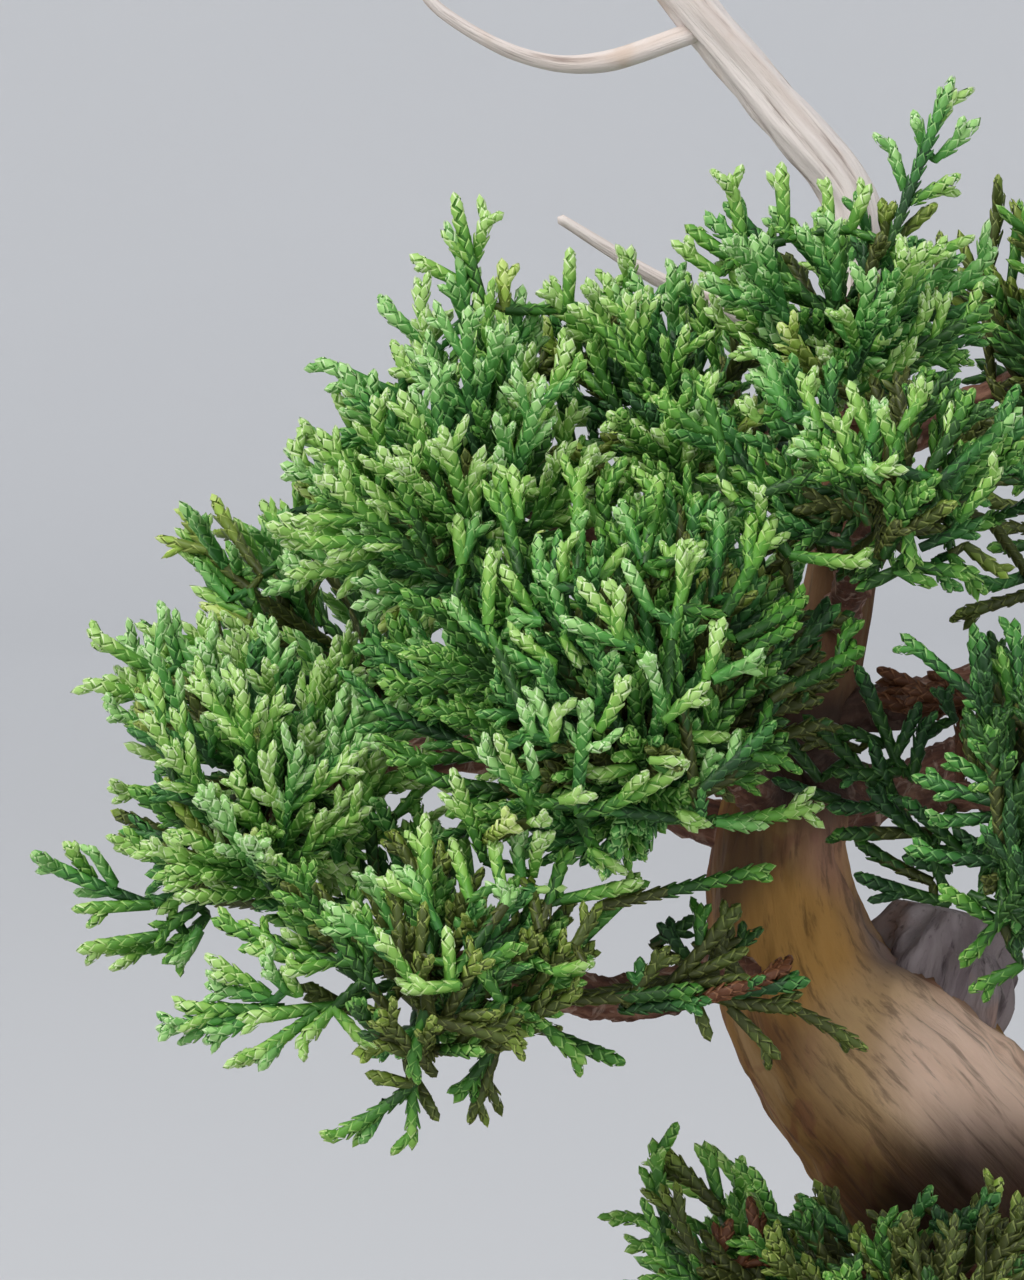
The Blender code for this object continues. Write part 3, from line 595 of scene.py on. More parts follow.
def limb_paths():
    """Every limb's path by name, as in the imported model."""
    paths = {"trunk": smooth_path(TRUNK_STATIONS, TRUNK_STEPS)}
    for name, stations in DEADWOOD.items():
        paths[name] = smooth_path(stations, DEADWOOD_STEPS)
    for mass in MASSES:
        paths[mass.name] = bough_path(mass, paths)
    return paths


PATHS = limb_paths()


def spray_directions(mass, count, rise=0.0):
    """Directions spread evenly round a ball by the golden angle, tipped upwards by the rise."""
    offset = MASSES.index(mass)
    for k in range(count):
        height = 1 - (2 * k + 1) / count
        across = math.sqrt(1 - height**2)
        angle = k * TURN + offset
        yield Vector((across * math.cos(angle), across * math.sin(angle), height + rise)).normalized()


def ellipsoid_area(mass):
    """About the area of the mass's surface, in square millimetres."""
    wide, deep, high = mass.radii
    return 4 * math.pi * (wide * deep + deep * high + high * wide) / 3


CAMERA_FORWARD = Vector((0, math.cos(CAMERA_ELEVATION), -math.sin(CAMERA_ELEVATION)))
CAMERA_UP = Vector((0, math.sin(CAMERA_ELEVATION), math.cos(CAMERA_ELEVATION)))
CAMERA_PLACE = AIM - CAMERA_FORWARD * CAMERA_DISTANCE


def pixel_of(point):
    """Where a point, in millimetres, falls in the picture."""
    away = point - CAMERA_PLACE
    scale = CAMERA_DISTANCE / away.dot(CAMERA_FORWARD) * PIXELS_PER_MM
    return PICTURE_WIDTH / 2 + away.x * scale, PICTURE_HEIGHT / 2 - away.dot(CAMERA_UP) * scale


def behind_pixel(across, down, depth):
    """The point, in millimetres, that lies at that depth behind a pixel of the picture."""
    sight = CAMERA_FORWARD * CAMERA_DISTANCE
    sight += Vector(((across - PICTURE_WIDTH / 2) / PIXELS_PER_MM, 0, 0))
    sight += CAMERA_UP * ((PICTURE_HEIGHT / 2 - down) / PIXELS_PER_MM)
    return CAMERA_PLACE + sight * ((depth - CAMERA_PLACE.y) / sight.y)


def inside_ellipse(x, y, centre_x, centre_y, half_width, half_height):
    return ((x - centre_x) / half_width) ** 2 + ((y - centre_y) / half_height) ** 2 < 1


def inside_edge(edge, x, y):
    """True if the pixel lies inside the closed outline."""
    starts = np.array(edge, float)
    ends = np.roll(starts, -1, axis=0)
    spans = (starts[:, 1] > y) != (ends[:, 1] > y)
    starts, ends = starts[spans], ends[spans]
    crossings = starts[:, 0] + (y - starts[:, 1]) * (ends[:, 0] - starts[:, 0]) / (ends[:, 1] - starts[:, 1])
    return bool((crossings > x).sum() % 2)


def in_dense_foliage(point):
    """True where the photograph shows dense foliage, or where it shows nothing."""
    x, y = pixel_of(point)
    if x > PICTURE_WIDTH or y > PICTURE_HEIGHT:
        return True
    if any(inside_ellipse(x, y, *gap) for gap in SKY_GAPS):
        return False
    return inside_edge(PAD_EDGE if y > PAD_TOP else DENSE_EDGE, x, y)


def shade(point):
    """How much older, and so darker, a shoot that ends at the point is made, from where it falls in the picture:
    painted shade, or painted light where negative.
    """
    x, y = pixel_of(point)
    return sum(older for *place, older in SHADES if inside_ellipse(x, y, *place))


# Segments of all limbs, to keep foliage off them
LIMB_STARTS = np.array([tuple(a) for path in PATHS.values() for a in path[:-1]])
LIMB_ENDS = np.array([tuple(b) for path in PATHS.values() for b in path[1:]])


def near_limb(point, radius):
    """True if a ball at the point touches a limb."""
    spans = LIMB_ENDS - LIMB_STARTS
    away = np.array(point) - LIMB_STARTS[:, :3]
    t = np.clip((away * spans[:, :3]).sum(1) / (spans[:, :3] ** 2).sum(1), 0, 1)
    gaps = np.linalg.norm(away - spans[:, :3] * t[:, None], axis=1) - (LIMB_STARTS[:, 3] + spans[:, 3] * t)
    return bool((gaps < radius).any())


def new_object(mesh):
    """An object for the mesh, under its name and at the origin."""
    made = bpy.data.objects.new(mesh.name, mesh)
    bpy.context.scene.collection.objects.link(made)
    return made


def dress(piece, slot, *nodes):
    """The piece rides on the body and stands for the nodes, which it hides. The slot is not used."""
    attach(piece, BODY)
    if nodes:
        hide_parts(*nodes)


def mesh_from_arrays(name, points, triangles, materials, slots=None, smooth=True):
    """A mesh of triangles, from points in millimetres."""
    mesh = bpy.data.meshes.new(name)
    count = len(triangles)
    mesh.vertices.add(len(points))
    mesh.vertices.foreach_set("co", (np.asarray(points, np.float64) * MM).astype(np.float32).ravel())
    mesh.loops.add(count * 3)
    mesh.loops.foreach_set("vertex_index", np.asarray(triangles, np.int32).ravel())
    mesh.polygons.add(count)
    mesh.polygons.foreach_set("loop_start", np.arange(0, count * 3, 3, dtype=np.int32))
    for material in materials:
        mesh.materials.append(material)
    if slots is not None:
        mesh.polygons.foreach_set("material_index", np.asarray(slots, np.int32))
    mesh.polygons.foreach_set("use_smooth", np.full(count, smooth))
    mesh.update(calc_edges=True)
    mesh.validate()
    return mesh


class Wire:
    """A socket's value in a shader, for use in Python expressions."""

    def __init__(self, finish, socket):
        self.finish = finish
        self.socket = socket

    def maths(self, operation, *values):
        return self.finish.node("ShaderNodeMath", 0, {"operation": operation}, dict(enumerate(values)))

    def __add__(self, other):
        return self.maths("ADD", self, other)

    __radd__ = __add__

    def __sub__(self, other):
        return self.maths("SUBTRACT", self, other)

    def __rsub__(self, other):
        return self.maths("SUBTRACT", other, self)

    def __mul__(self, other):
        return self.maths("MULTIPLY", self, other)

    __rmul__ = __mul__

    def least(self, other):
        return self.maths("MINIMUM", self, other)

    def band(self, low, high):
        """0 below low, 1 above high and a smooth step between them."""
        values = {"Value": self, "From Min": low, "From Max": high}
        return self.finish.node("ShaderNodeMapRange", "Result", {"interpolation_type": "SMOOTHSTEP"}, values)


class Finish:
    """A material and the nodes in it."""

    def __init__(self, name, roughness, specular):
        self.material = bpy.data.materials.new(name)
        self.material.use_nodes = True
        self.tree = self.material.node_tree
        self.shader = self.tree.nodes["Principled BSDF"]
        self.shader.inputs["Roughness"].default_value = roughness
        self.shader.inputs["Specular IOR Level"].default_value = specular

    def node(self, kind, output, settings=None, values=None):
        """The output of a new node of that type, from its settings and its sockets' values or links."""
        node = self.tree.nodes.new(kind)
        for name, value in (settings or {}).items():
            if name == "stops":
                self.set_stops(node.color_ramp, value)
            else:
                setattr(node, name, value)
        for socket, value in (values or {}).items():
            self.feed(node.inputs[socket], value)
        return Wire(self, node.outputs[output])

    def set_stops(self, ramp, stops):
        while len(ramp.elements) < len(stops):
            ramp.elements.new(1.0)
        for element, (place, colour) in zip(ramp.elements, stops):
            element.position = place
            element.color = (*srgb(*colour), 1)

    def feed(self, socket, value):
        if isinstance(value, Wire):
            self.tree.links.new(value.socket, socket)
        elif isinstance(value, tuple) and len(value) == 3 and len(socket.default_value) == 4:
            socket.default_value = (*value, 1)
        else:
            socket.default_value = value

    def place(self):
        """The object's own coordinates."""
        return self.node("ShaderNodeTexCoord", "Object")

    def grain(self):
        """The coordinates that wind along a limb."""
        return self.node("ShaderNodeAttribute", "Vector", {"attribute_name": GRAIN})

    def noise(self, vector, scale, detail, roughness=0.6, distortion=0.0):
        values = {"Vector": vector, "Scale": scale, "Detail": detail}
        values.update({"Roughness": roughness, "Distortion": distortion})
        return self.node("ShaderNodeTexNoise", "Fac", None, values)

    def drawn_out(self, vector, across, along, detail, roughness=0.6, distortion=0.0):
        """Noise as fine as given across the vector's third axis and along it, in ridges a metre."""
        values = {"Vector": vector, "Scale": (across, across, along)}
        scaled = self.node("ShaderNodeMapping", "Vector", {"vector_type": "POINT"}, values)
        return self.noise(scaled, 1.0, detail, roughness, distortion)

    def cells(self, vector, scale):
        """The distance from the middle of the nearest cell."""
        values = {"Vector": vector, "Scale": scale}
        return self.node("ShaderNodeTexVoronoi", "Distance", {"feature": "F1"}, values)

    def ramp(self, factor, stops):
        """The colour at the factor, between stops whose colours are given as 0 to 255."""
        return self.node("ShaderNodeValToRGB", "Color", {"stops": stops}, {"Fac": factor})

    def mix(self, factor, first, second):
        values = {"Factor": factor, 6: first, 7: second}
        return self.node("ShaderNodeMix", 2, {"data_type": "RGBA"}, values)

    def near(self, vector, centre, reach):
        """1 at the centre, falling to 0 at the reach, both in millimetres."""
        values = {0: vector, 1: tuple(MM * value for value in centre)}
        gap = self.node("ShaderNodeVectorMath", "Value", {"operation": "DISTANCE"}, values)
        return 1.0 - gap.band(0.45 * reach * MM, reach * MM)

    def colour(self, value):
        self.feed(self.shader.inputs["Base Color"], value)

    def roughness(self, value):
        self.feed(self.shader.inputs["Roughness"], value)

    def bump(self, height, depth, strength=0.9):
        """Small relief from the height, whose depth is given in millimetres."""
        values = {"Height": height, "Distance": depth * MM, "Strength": strength}
        self.feed(self.shader.inputs["Normal"], self.node("ShaderNodeBump", "Normal", None, values))


def srgb(*colour):
    """A colour given as 0 to 255, in linear light."""
    shares = (value / 255 for value in colour)
    return tuple(share / 12.92 if share <= 0.04045 else ((share + 0.055) / 1.055) ** 2.4 for share in shares)


def plain_materials(colours, roughness, specular):
    """A material of one plain colour, given as 0 to 255, for each name."""
    made = []
    for name, colour in colours.items():
        plain = Finish(name, roughness, specular)
        plain.colour(srgb(*colour))
        made.append(plain.material)
    return made


# Bark, deadwood and their relief

GRAIN = "grain"

# How finely limbs are modelled: steps of the curve to each span, sides, and the length of a ring in
# millimetres
TRUNK_DETAIL = (10, 128, 0.5)
BOUGH_DETAIL = (4, 22, 0.45)
DEAD_TOP_DETAIL = (8, 32, 0.4)
DEAD_TWIG_DETAIL = (8, 18, 0.4)
STUB_DETAIL = (10, 64, 0.3)
TWIG_DETAIL = (2, 5, 2.0)
THINNEST = 0.05
END_BULGE = 0.6

# One layer of ridges: how fine they are across and along the limb, in millimetres, where in the noise they
# lie, and how high they stand, in millimetres or as a share of the limb's radius
Ridges = namedtuple("Ridges", "fine long seed height")
TRUNK_MUSCLES = Ridges(5.0, 34.0, 3.0, 0.13)
TRUNK_RIDGES = Ridges(1.5, 13.0, 9.0, 0.42)
TRUNK_FIBRES = Ridges(0.5, 6.0, 21.0, 0.22)
BOUGH_RIDGES = Ridges(0.55, 3.5, 5.0, 0.24)
TOP_TWIST = Ridges(0.8, 16.0, 31.0, 0.30)
TOP_CHECKS = Ridges(0.5, 12.0, 40.0, 0.26)
STUB_TEARS = Ridges(1.3, 9.0, 60.0, 0.34)
STUB_CHECKS = Ridges(0.8, 14.0, 71.0, 0.35)
# How far ridges wind round a limb, in radians to a millimetre, and how much faster on the dead top
WINDING = 0.018
TOP_WINDING = 1.4
# The trunk's flakes: width, length and height, and the radii from which its ridges and fibres have their
# full height
FLAKE_WIDTH = 1.6
FLAKE_LENGTH = 3.4
FLAKE_HEIGHT = 0.5
RIDGED_RADIUS = 5
FIBROUS_RADIUS = 4
# The boughs' knots and flakes: size, and height as a share of the radius
KNOT_SIZE = 3.2
KNOT_HEIGHT = 0.22
SCALE_SIZE = 0.7
SCALE_HEIGHT = 0.3
# The trunk's mesh reaches this far into the soil
SUNK = 0.6


def resampled(path, step):
    """Points at even steps along the path, as an array of x, y, z and radius, and how far along each is."""
    points = np.array([tuple(p) for p in path])
    lengths = np.concatenate([[0], np.cumsum(np.linalg.norm(np.diff(points[:, :3], axis=0), axis=1))])
    count = max(4, round(lengths[-1] / step))
    along = np.linspace(0, lengths[-1], count + 1)
    return np.stack([np.interp(along, lengths, points[:, i]) for i in range(4)], axis=1), along


def ring_frames(points):
    """Unit vectors across a path at each point, turned as little as possible, the first facing the viewer."""
    tangents = np.gradient(points[:, :3], axis=0)
    tangents /= np.linalg.norm(tangents, axis=1)[:, None]
    front = Vector((0, -1, 0.01))
    fronts = []
    for tangent in tangents:
        axis = Vector(tangent)
        front = (front - axis * front.dot(axis)).normalized()
        fronts.append(tuple(front))
    fronts = np.array(fronts)
    return fronts, np.cross(tangents, fronts)


def limb_arrays(stations, detail, relief):
    """Points, triangles and grain of a closed limb that stands out by relief(angle, along, place, radius)."""
    steps, sides, step = detail
    points, along = resampled(smooth_path(stations, steps), step)
    fronts, sideways = ring_frames(points)
    rings = len(points)
    spots = np.empty((rings, sides, 3))
    grain = np.empty((rings, sides, 3))
    for r in range(rings):
        radius = points[r, 3]
        for s, angle in enumerate(np.arange(sides) * math.tau / sides):
            out = fronts[r] * math.cos(angle) + sideways[r] * math.sin(angle)
            proud = relief(angle, along[r], points[r, :3] + out * radius, radius)
            spots[r, s] = points[r, :3] + out * max(radius + proud, THINNEST)
            grain[r, s] = (radius * math.cos(angle), radius * math.sin(angle), along[r])
    index = np.arange(rings * sides).reshape(rings, sides)
    beside = np.roll(index, -1, axis=1)
    low = np.full(sides, rings * sides)
    faces = [
        np.stack([index[:-1], beside[:-1], beside[1:]], axis=-1).reshape(-1, 3),
        np.stack([index[:-1], beside[1:], index[1:]], axis=-1).reshape(-1, 3),
        np.stack([low, beside[0], index[0]], axis=-1),
        np.stack([low + 1, index[-1], beside[-1]], axis=-1),
    ]
    ends = np.stack([spots[0].mean(0), spots[-1].mean(0)])
    ends[1] += (points[-1, :3] - points[-2, :3]) * END_BULGE
    grain_ends = np.stack([grain[0].mean(0), grain[-1].mean(0)])
    spots = np.concatenate([spots.reshape(-1, 3), ends])
    grain = np.concatenate([grain.reshape(-1, 3), grain_ends])
    return spots, np.concatenate(faces), grain


def joined(parts):
    """Points, triangles and grain of several limbs as one."""
    points, faces, grain = zip(*parts)
    starts = np.cumsum([0, *(len(spots) for spots in points)])
    faces = [triangles + start for triangles, start in zip(faces, starts)]
    return np.concatenate(points), np.concatenate(faces), np.concatenate(grain)


def limb_piece(name, parts, material):
    """One object from limbs' arrays, with the grain kept as an attribute for its material."""
    points, faces, grain = joined(parts)
    mesh = mesh_from_arrays(name, points, faces, [material])
    lines = mesh.attributes.new(GRAIN, "FLOAT_VECTOR", "POINT")
    lines.data.foreach_set("vector", (grain * MM).astype(np.float32).ravel())
    return new_object(mesh)


def ridge(layer, angle, along, radius):
    """How far the layer's ridges stand out at that place of a limb."""
    turn = angle + along * WINDING
    across = radius * math.cos(turn) / layer.fine + layer.seed
    spot = Vector((across, radius * math.sin(turn) / layer.fine, along / layer.long + layer.seed))
    return noise.noise(spot) * layer.height


def trunk_relief(angle, along, place, radius):
    """Muscles, fibres and flakes of the live bark."""
    x, y, z = place
    muscles = ridge(TRUNK_MUSCLES, angle, along, radius) * radius
    ridges = ridge(TRUNK_RIDGES, angle, along, radius)
    fibres = ridge(TRUNK_FIBRES, angle, along, radius)
    flakes = noise.noise(Vector((x / FLAKE_WIDTH, y / FLAKE_WIDTH, z / FLAKE_LENGTH)))
    fine = fibres + max(0.0, flakes) * FLAKE_HEIGHT
    return muscles + ridges * min(1, radius / RIDGED_RADIUS) + fine * min(1, radius / FIBROUS_RADIUS)


def bough_relief(angle, along, place, radius):
    """Knots, ridges and papery flakes of the young bark."""
    knots = noise.noise(Vector(place) / KNOT_SIZE) * KNOT_HEIGHT * radius
    ridges = ridge(BOUGH_RIDGES, angle, along, radius) * radius
    flakes = max(0.0, noise.noise(Vector(place) / SCALE_SIZE)) * SCALE_HEIGHT * radius
    return knots + ridges + flakes


def top_relief(angle, along, place, radius):
    """Twisted grain and fine checks of the bleached wood."""
    twist = ridge(TOP_TWIST, angle, along * TOP_WINDING, radius) * radius
    return twist - abs(ridge(TOP_CHECKS, angle, along, radius)) * radius


def stub_relief(angle, along, place, radius):
    """Torn grain and deep checks of the grey stub."""
    torn = ridge(STUB_TEARS, angle, along, radius) * radius
    return torn - abs(ridge(STUB_CHECKS, angle, along, radius)) * radius


def root_flare(points):
    """Spreads the trunk's foot into lobes and cuts it flat in the soil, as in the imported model."""
    foot = Vector(TRUNK_STATIONS[0][:3])
    rise = (points[:, 2] - foot.z) / (ROOT_TOP - foot.z)
    low = rise < 1
    away = points[low, :2] - np.array(foot.xy)
    lobe = 0.5 + 0.5 * np.cos(ROOT_LOBES * np.arctan2(away[:, 1], away[:, 0]))
    spread = 1 + ROOT_SPREAD * (1 - np.clip(rise[low], 0, 1)) ** 2 * (ROOT_LEAST + lobe)
    points[low, :2] = np.array(foot.xy) + away * spread[:, None]
    points[:, 2] = np.maximum(points[:, 2], SOIL_LEVEL / MM - SUNK)
    return points


# Where the bark differs from the rest: centre and reach in millimetres, strength, and colour. In order: a
# side darkened as painted shade, a grey side towards the stub, a golden vein, a rosy one, the tan of the
# bend and its worn pale, lightened further as a painted highlight, painted shade under the bend at its foot,
# and painted shade on the dark fork where the upper boughs leave.
BARK_PATCHES = (
    # Painted shade on one side.
    ((-8.5, -4.0, 73.5), 6.0, 0.75, (84, 64, 46)),
    ((3.0, -4.0, 69.5), 5.5, 0.85, (122, 106, 102)),
    ((-3.2, -6.0, 69.0), 6.5, 1.0, (184, 138, 74)),
    ((0.2, -4.0, 75.5), 5.0, 0.6, (182, 138, 118)),
    ((3.0, -8.0, 62.0), 8.0, 0.9, (206, 170, 122)),
    # Worn pale wood of the bend, with a painted highlight.
    ((9.0, -8.0, 61.5), 9.0, 1.0, (248, 212, 188)),
    # Painted shade under the bend.
    ((8.0, -6.5, 50.0), 11.0, 0.95, (46, 30, 22)),
    # Painted shade at the fork under the foliage.
    ((-1.5, -2.0, 80.5), 6.5, 0.9, (44, 30, 24)),
)
BARK_TONES = ((0.28, (78, 52, 36)), (0.42, (128, 90, 52)), (0.55, (156, 118, 68)), (0.70, (176, 142, 98)))
BARK_FLAKES = srgb(126, 76, 54)
BARK_CRACKS = srgb(52, 34, 26)
# The trunk turns to this darker reddish brown between these heights, partly its own bark and partly painted shade
# under the foliage
UPPER_BARK_AND_SHADE = srgb(74, 48, 38)
UPPER_FROM = 76.0 * MM
UPPER_TO = 84.0 * MM

BOUGH_TONES = ((0.30, (62, 40, 33)), (0.48, (104, 68, 54)), (0.66, (152, 112, 92)))
BOUGH_FLAKES = srgb(176, 150, 134)
# Where the boughs leave the trunk behind the front masses, in millimetres, their bark is darkened as painted
# shade
SHADED_FORK = (-1.0, -4.0, 81.0)
SHADED_FORK_REACH = 10.0
FORK_SHADE = srgb(44, 30, 24)


def bark_finish():
    """Old juniper bark: golden brown fibres, reddish flakes, a worn pale bend with a painted highlight, grey
    streaks, and painted shade in patches and high up.
    """
    bark = Finish("Juniper_bark", 0.6, 0.3)
    place = bark.place()
    grain = bark.grain()
    fibres = bark.drawn_out(grain, 1400, 130, 5.0, 0.62)
    streaks = bark.drawn_out(grain, 380, 42, 4.0)
    flakes = bark.drawn_out(place, 420, 230, 3.0, distortion=0.6)
    height = bark.node("ShaderNodeSeparateXYZ", "Z", None, {"Vector": place})
    reddish = bark.mix(flakes.band(0.50, 0.62) * 0.6, bark.ramp(streaks, BARK_TONES), BARK_FLAKES)
    # Painted shade in part: the trunk darkens high up under the foliage.
    tinted = bark.mix(height.band(UPPER_FROM, UPPER_TO) * 0.7, reddish, UPPER_BARK_AND_SHADE)
    broken = 0.6 + streaks * 0.7
    # Some of these patches are painted shade and one holds a painted highlight, as listed above.
    for centre, reach, strength, tint in BARK_PATCHES:
        patch = (bark.near(place, centre, reach) * broken).least(1.0) * strength
        tinted = bark.mix(patch, tinted, srgb(*tint))
    bark.colour(bark.mix((1.0 - fibres.band(0.34, 0.50)) * 0.5, tinted, BARK_CRACKS))
    bark.roughness(0.62 + fibres * 0.3)
    bark.bump(fibres * 0.7 + flakes * 0.5, 0.35)
    return bark.material


def bough_finish():
    """Young bark: reddish brown, flaking in small papery scales, with painted shade at the fork."""
    bark = Finish("Bough_bark", 0.6, 0.3)
    place = bark.place()
    fibres = bark.drawn_out(bark.grain(), 1500, 260, 4.0)
    flakes = bark.drawn_out(place, 900, 500, 3.0, distortion=0.8)
    papery = bark.mix(flakes.band(0.53, 0.66) * 0.7, bark.ramp(fibres, BOUGH_TONES), BOUGH_FLAKES)
    # Painted shade where the boughs leave the trunk.
    bark.colour(bark.mix(bark.near(place, SHADED_FORK, SHADED_FORK_REACH) * 0.85, papery, FORK_SHADE))
    bark.roughness(0.65 + fibres * 0.25)
    bark.bump(fibres * 0.6 + flakes * 0.8, 0.25)
    return bark.material


def deadwood_finish(name, pale, mid, dark, stain):
    """Weathered wood with fine grain, stains, and dark checks along it. Its colours are given as 0 to 255."""
    wood = Finish(name, 0.6, 0.25)
    grain = wood.grain()
    lines = wood.drawn_out(grain, 2100, 90, 5.0, 0.65)
    broad = wood.drawn_out(grain, 520, 30, 3.0)
    stains = wood.noise(wood.place(), 160.0, 3.0)
    base = wood.ramp(broad, ((0.32, mid), (0.60, pale)))
    stained = wood.mix(stains.band(0.52, 0.70) * 0.65, base, srgb(*stain))
    wood.colour(wood.mix((1.0 - lines.band(0.30, 0.46)) * 0.75, stained, srgb(*dark)))
    wood.roughness(0.68 + lines * 0.25)
    wood.bump(lines, 0.3)
    return wood.material


class JuniperBark(PropertyGroup):
    """Sizes of the bark's relief."""

    depth: FloatProperty(
        name="Relief",
        description="How strongly the bark's ridges and flakes stand out, as a share of the real ones",
        default=1.0,
        min=0.0,
        max=2.0,
    )

    def scaled(self, relief):
        """The relief at this strength."""
        return lambda *where: relief(*where) * self.depth


class JUNIPER_OT_trunk(Operator):
    """Make the trunk with its muscles, fibres, flakes and root flare"""

    bl_idname = "juniper.trunk"
    bl_label = "Trunk"

    def execute(self, context):
        relief = context.scene.juniper_bark.scaled(trunk_relief)
        points, faces, grain = limb_arrays(TRUNK_STATIONS, TRUNK_DETAIL, relief)
        trunk = limb_piece("Trunk", [(root_flare(points), faces, grain)], bark_finish())
        dress(trunk, "bark", "trunk")
        return {"FINISHED"}


class JUNIPER_OT_boughs(Operator):
    """Make the boughs from the trunk to the masses of foliage"""

    bl_idname = "juniper.boughs"
    bl_label = "Boughs"

    def execute(self, context):
        relief = context.scene.juniper_bark.scaled(bough_relief)
        parts = []
        for mass in MASSES:
            path = PATHS[mass.name]
            hub = foot_and_hub(mass, path[0].xyz)[1]
            longer = [*path, Vector((*hub, path[-1].w * HUB_RADIUS_SHARE))]
            parts.append(limb_arrays(longer, BOUGH_DETAIL, relief))
        boughs = limb_piece("Boughs", parts, bough_finish())
        dress(boughs, "bark", *("bough_" + mass.name for mass in MASSES))
        return {"FINISHED"}


class JUNIPER_OT_deadwood(Operator):
    """Make the bleached top with its twigs, and the grey stub beside the elbow"""

    bl_idname = "juniper.deadwood"
    bl_label = "Deadwood"

    def execute(self, context):
        names = ("dead_top", "dead_side_twig", "dead_snag")
        details = (DEAD_TOP_DETAIL, DEAD_TWIG_DETAIL, DEAD_TWIG_DETAIL)
        tops = [limb_arrays(DEADWOOD[name], detail, top_relief) for name, detail in zip(names, details)]
        bleached = deadwood_finish(
            "Bleached_deadwood",
            pale=(238, 228, 222),
            mid=(216, 200, 190),
            dark=(140, 120, 110),
            stain=(206, 178, 154),
        )
        dress(limb_piece("Bleached_top", tops, bleached), "deadwood", *names)
        stub = [limb_arrays(DEADWOOD["dead_stub"], STUB_DETAIL, stub_relief)]
        grey = deadwood_finish(
            "Grey_deadwood",
            pale=(158, 146, 146),
            mid=(120, 106, 110),
            dark=(58, 46, 48),
            stain=(168, 132, 112),
        )
        dress(limb_piece("Grey_stub", stub, grey), "deadwood", "dead_stub")
        return {"FINISHED"}


# Foliage. A shoot is a braided rope of overlapping scale leaves in crossed pairs. Sizes are in millimetres
# and angles in degrees. Two numbers together are the least and the most that the dice may give.

Shoot = namedtuple("Shoot", "start aim bend length base_radius tip_radius age roll fine kind")

# Leaves: the step between pairs, on front masses and on others, their length in steps, and how they vary.
# The last pairs of a shoot, counted from its tip, are shorter and close over it.
LEAF_PITCH = 0.48
BACK_LEAF_PITCH = 0.66
LEAF_REACH = 2.15
LEAF_LENGTHS = (0.92, 1.10)
LEAF_SPREADS = (0.94, 1.06)
LEAF_TWIST = 0.10
TONE_SPREAD = 0.7
CLOSINGS = np.array((1.0, 0.55, 0.2, 0.0))
CLOSED_SHORTER = 0.28
# The core inside the leaves: the length of its segments, and its radius and that of its end as shares
CORE_STEP = 2.2
CORE_SHARE = 0.97
CORE_END = 0.55
CAP_REACH = 0.5

# A scale leaf's points: how far along it, the angle round the shoot, how far out, and how much the tip
# closes them. In order: root, right and left flank, right and left margin, keel near the tip, tip.
LEAF = np.array(
    (
        (0.00, 0, 0.80, 0.0),
        (0.47, 52, 1.04, 0.30),
        (0.47, -52, 1.04, 0.30),
        (0.42, 64, 0.88, 0.30),
        (0.42, -64, 0.88, 0.30),
        (0.84, 0, 1.27, 0.66),
        (1.00, 0, 1.12, 0.93),
    )
)
LEAF_FACES = np.array(((0, 1, 5), (0, 5, 2), (1, 3, 6), (1, 6, 5), (2, 6, 4), (2, 5, 6)))
LEAF_MARGINS = np.array((0, 0, 1, 1, 1, 1))

# Leaf colours, 0 to 255, each with its paler margin's
LEAF_COLOURS = {
    "Leaf_tip": ((168, 208, 116), (212, 232, 176)),
    "Leaf_young": ((134, 182, 80), (188, 216, 138)),
    "Leaf_fresh": ((94, 152, 54), (154, 196, 104)),
    "Leaf_green": ((62, 118, 38), (118, 166, 80)),
    "Leaf_deep": ((38, 78, 26), (80, 122, 56)),
    "Leaf_old": ((64, 72, 28), (104, 112, 54)),
    "Leaf_blue_tip": ((154, 204, 120), (202, 230, 174)),
    "Leaf_blue_young": ((110, 168, 84), (166, 204, 134)),
    "Leaf_blue_fresh": ((78, 143, 60), (140, 188, 108)),
    "Leaf_blue_green": ((50, 108, 44), (100, 154, 82)),
    "Leaf_blue_deep": ((32, 70, 32), (70, 112, 62)),
    "Leaf_gold_tip": ((190, 214, 118), (216, 228, 158)),
    "Leaf_gold_young": ((150, 182, 72), (190, 208, 116)),
    "Leaf_olive": ((108, 130, 46), (156, 172, 88)),
    "Leaf_dark_olive": ((74, 88, 32), (118, 130, 64)),
    "Leaf_dead": ((100, 60, 36), (136, 92, 62)),
}
# The tones that each kind of spray has, from its tips inwards, and how many pairs behind the tip each one
# ends
TONES = (
    ("Leaf_tip", "Leaf_young", "Leaf_fresh", "Leaf_green", "Leaf_deep", "Leaf_old"),
    ("Leaf_blue_tip", "Leaf_blue_young", "Leaf_blue_fresh", "Leaf_blue_green", "Leaf_blue_deep", "Leaf_deep"),
    ("Leaf_gold_tip", "Leaf_gold_young", "Leaf_olive", "Leaf_dark_olive", "Leaf_old", "Leaf_old"),
    ("Leaf_dead",) * 6,
)
AGE_STEPS = np.array((1.8, 4.4, 8.2, 13.0, 19.0))
TONE_SLOTS = np.array([[list(LEAF_COLOURS).index(tone) for tone in kind] for kind in TONES])
# How many sprays are of each kind, in order, where they are young, old, or always cool and dark
YOUNG_SHARES = (0.63, 0.33, 0.04)
OLD_SHARES = (0.40, 0.10, 0.50)
COOL_SHARES = (0.30, 0.70, 0.0)
COOL_MASSES = ("right_front",)
# The age from which a mass's sprays count as old, how often the kind changes inside a bunch, and the dead
# ones
OLD_FROM = {"front_low": 4.0, "low_front": 0.0, "far_right": 0.0}
OLD_ELSEWHERE = 8.0
KIND_CHANGE = 0.35
DEAD = 3
DEAD_AGE = 60.0


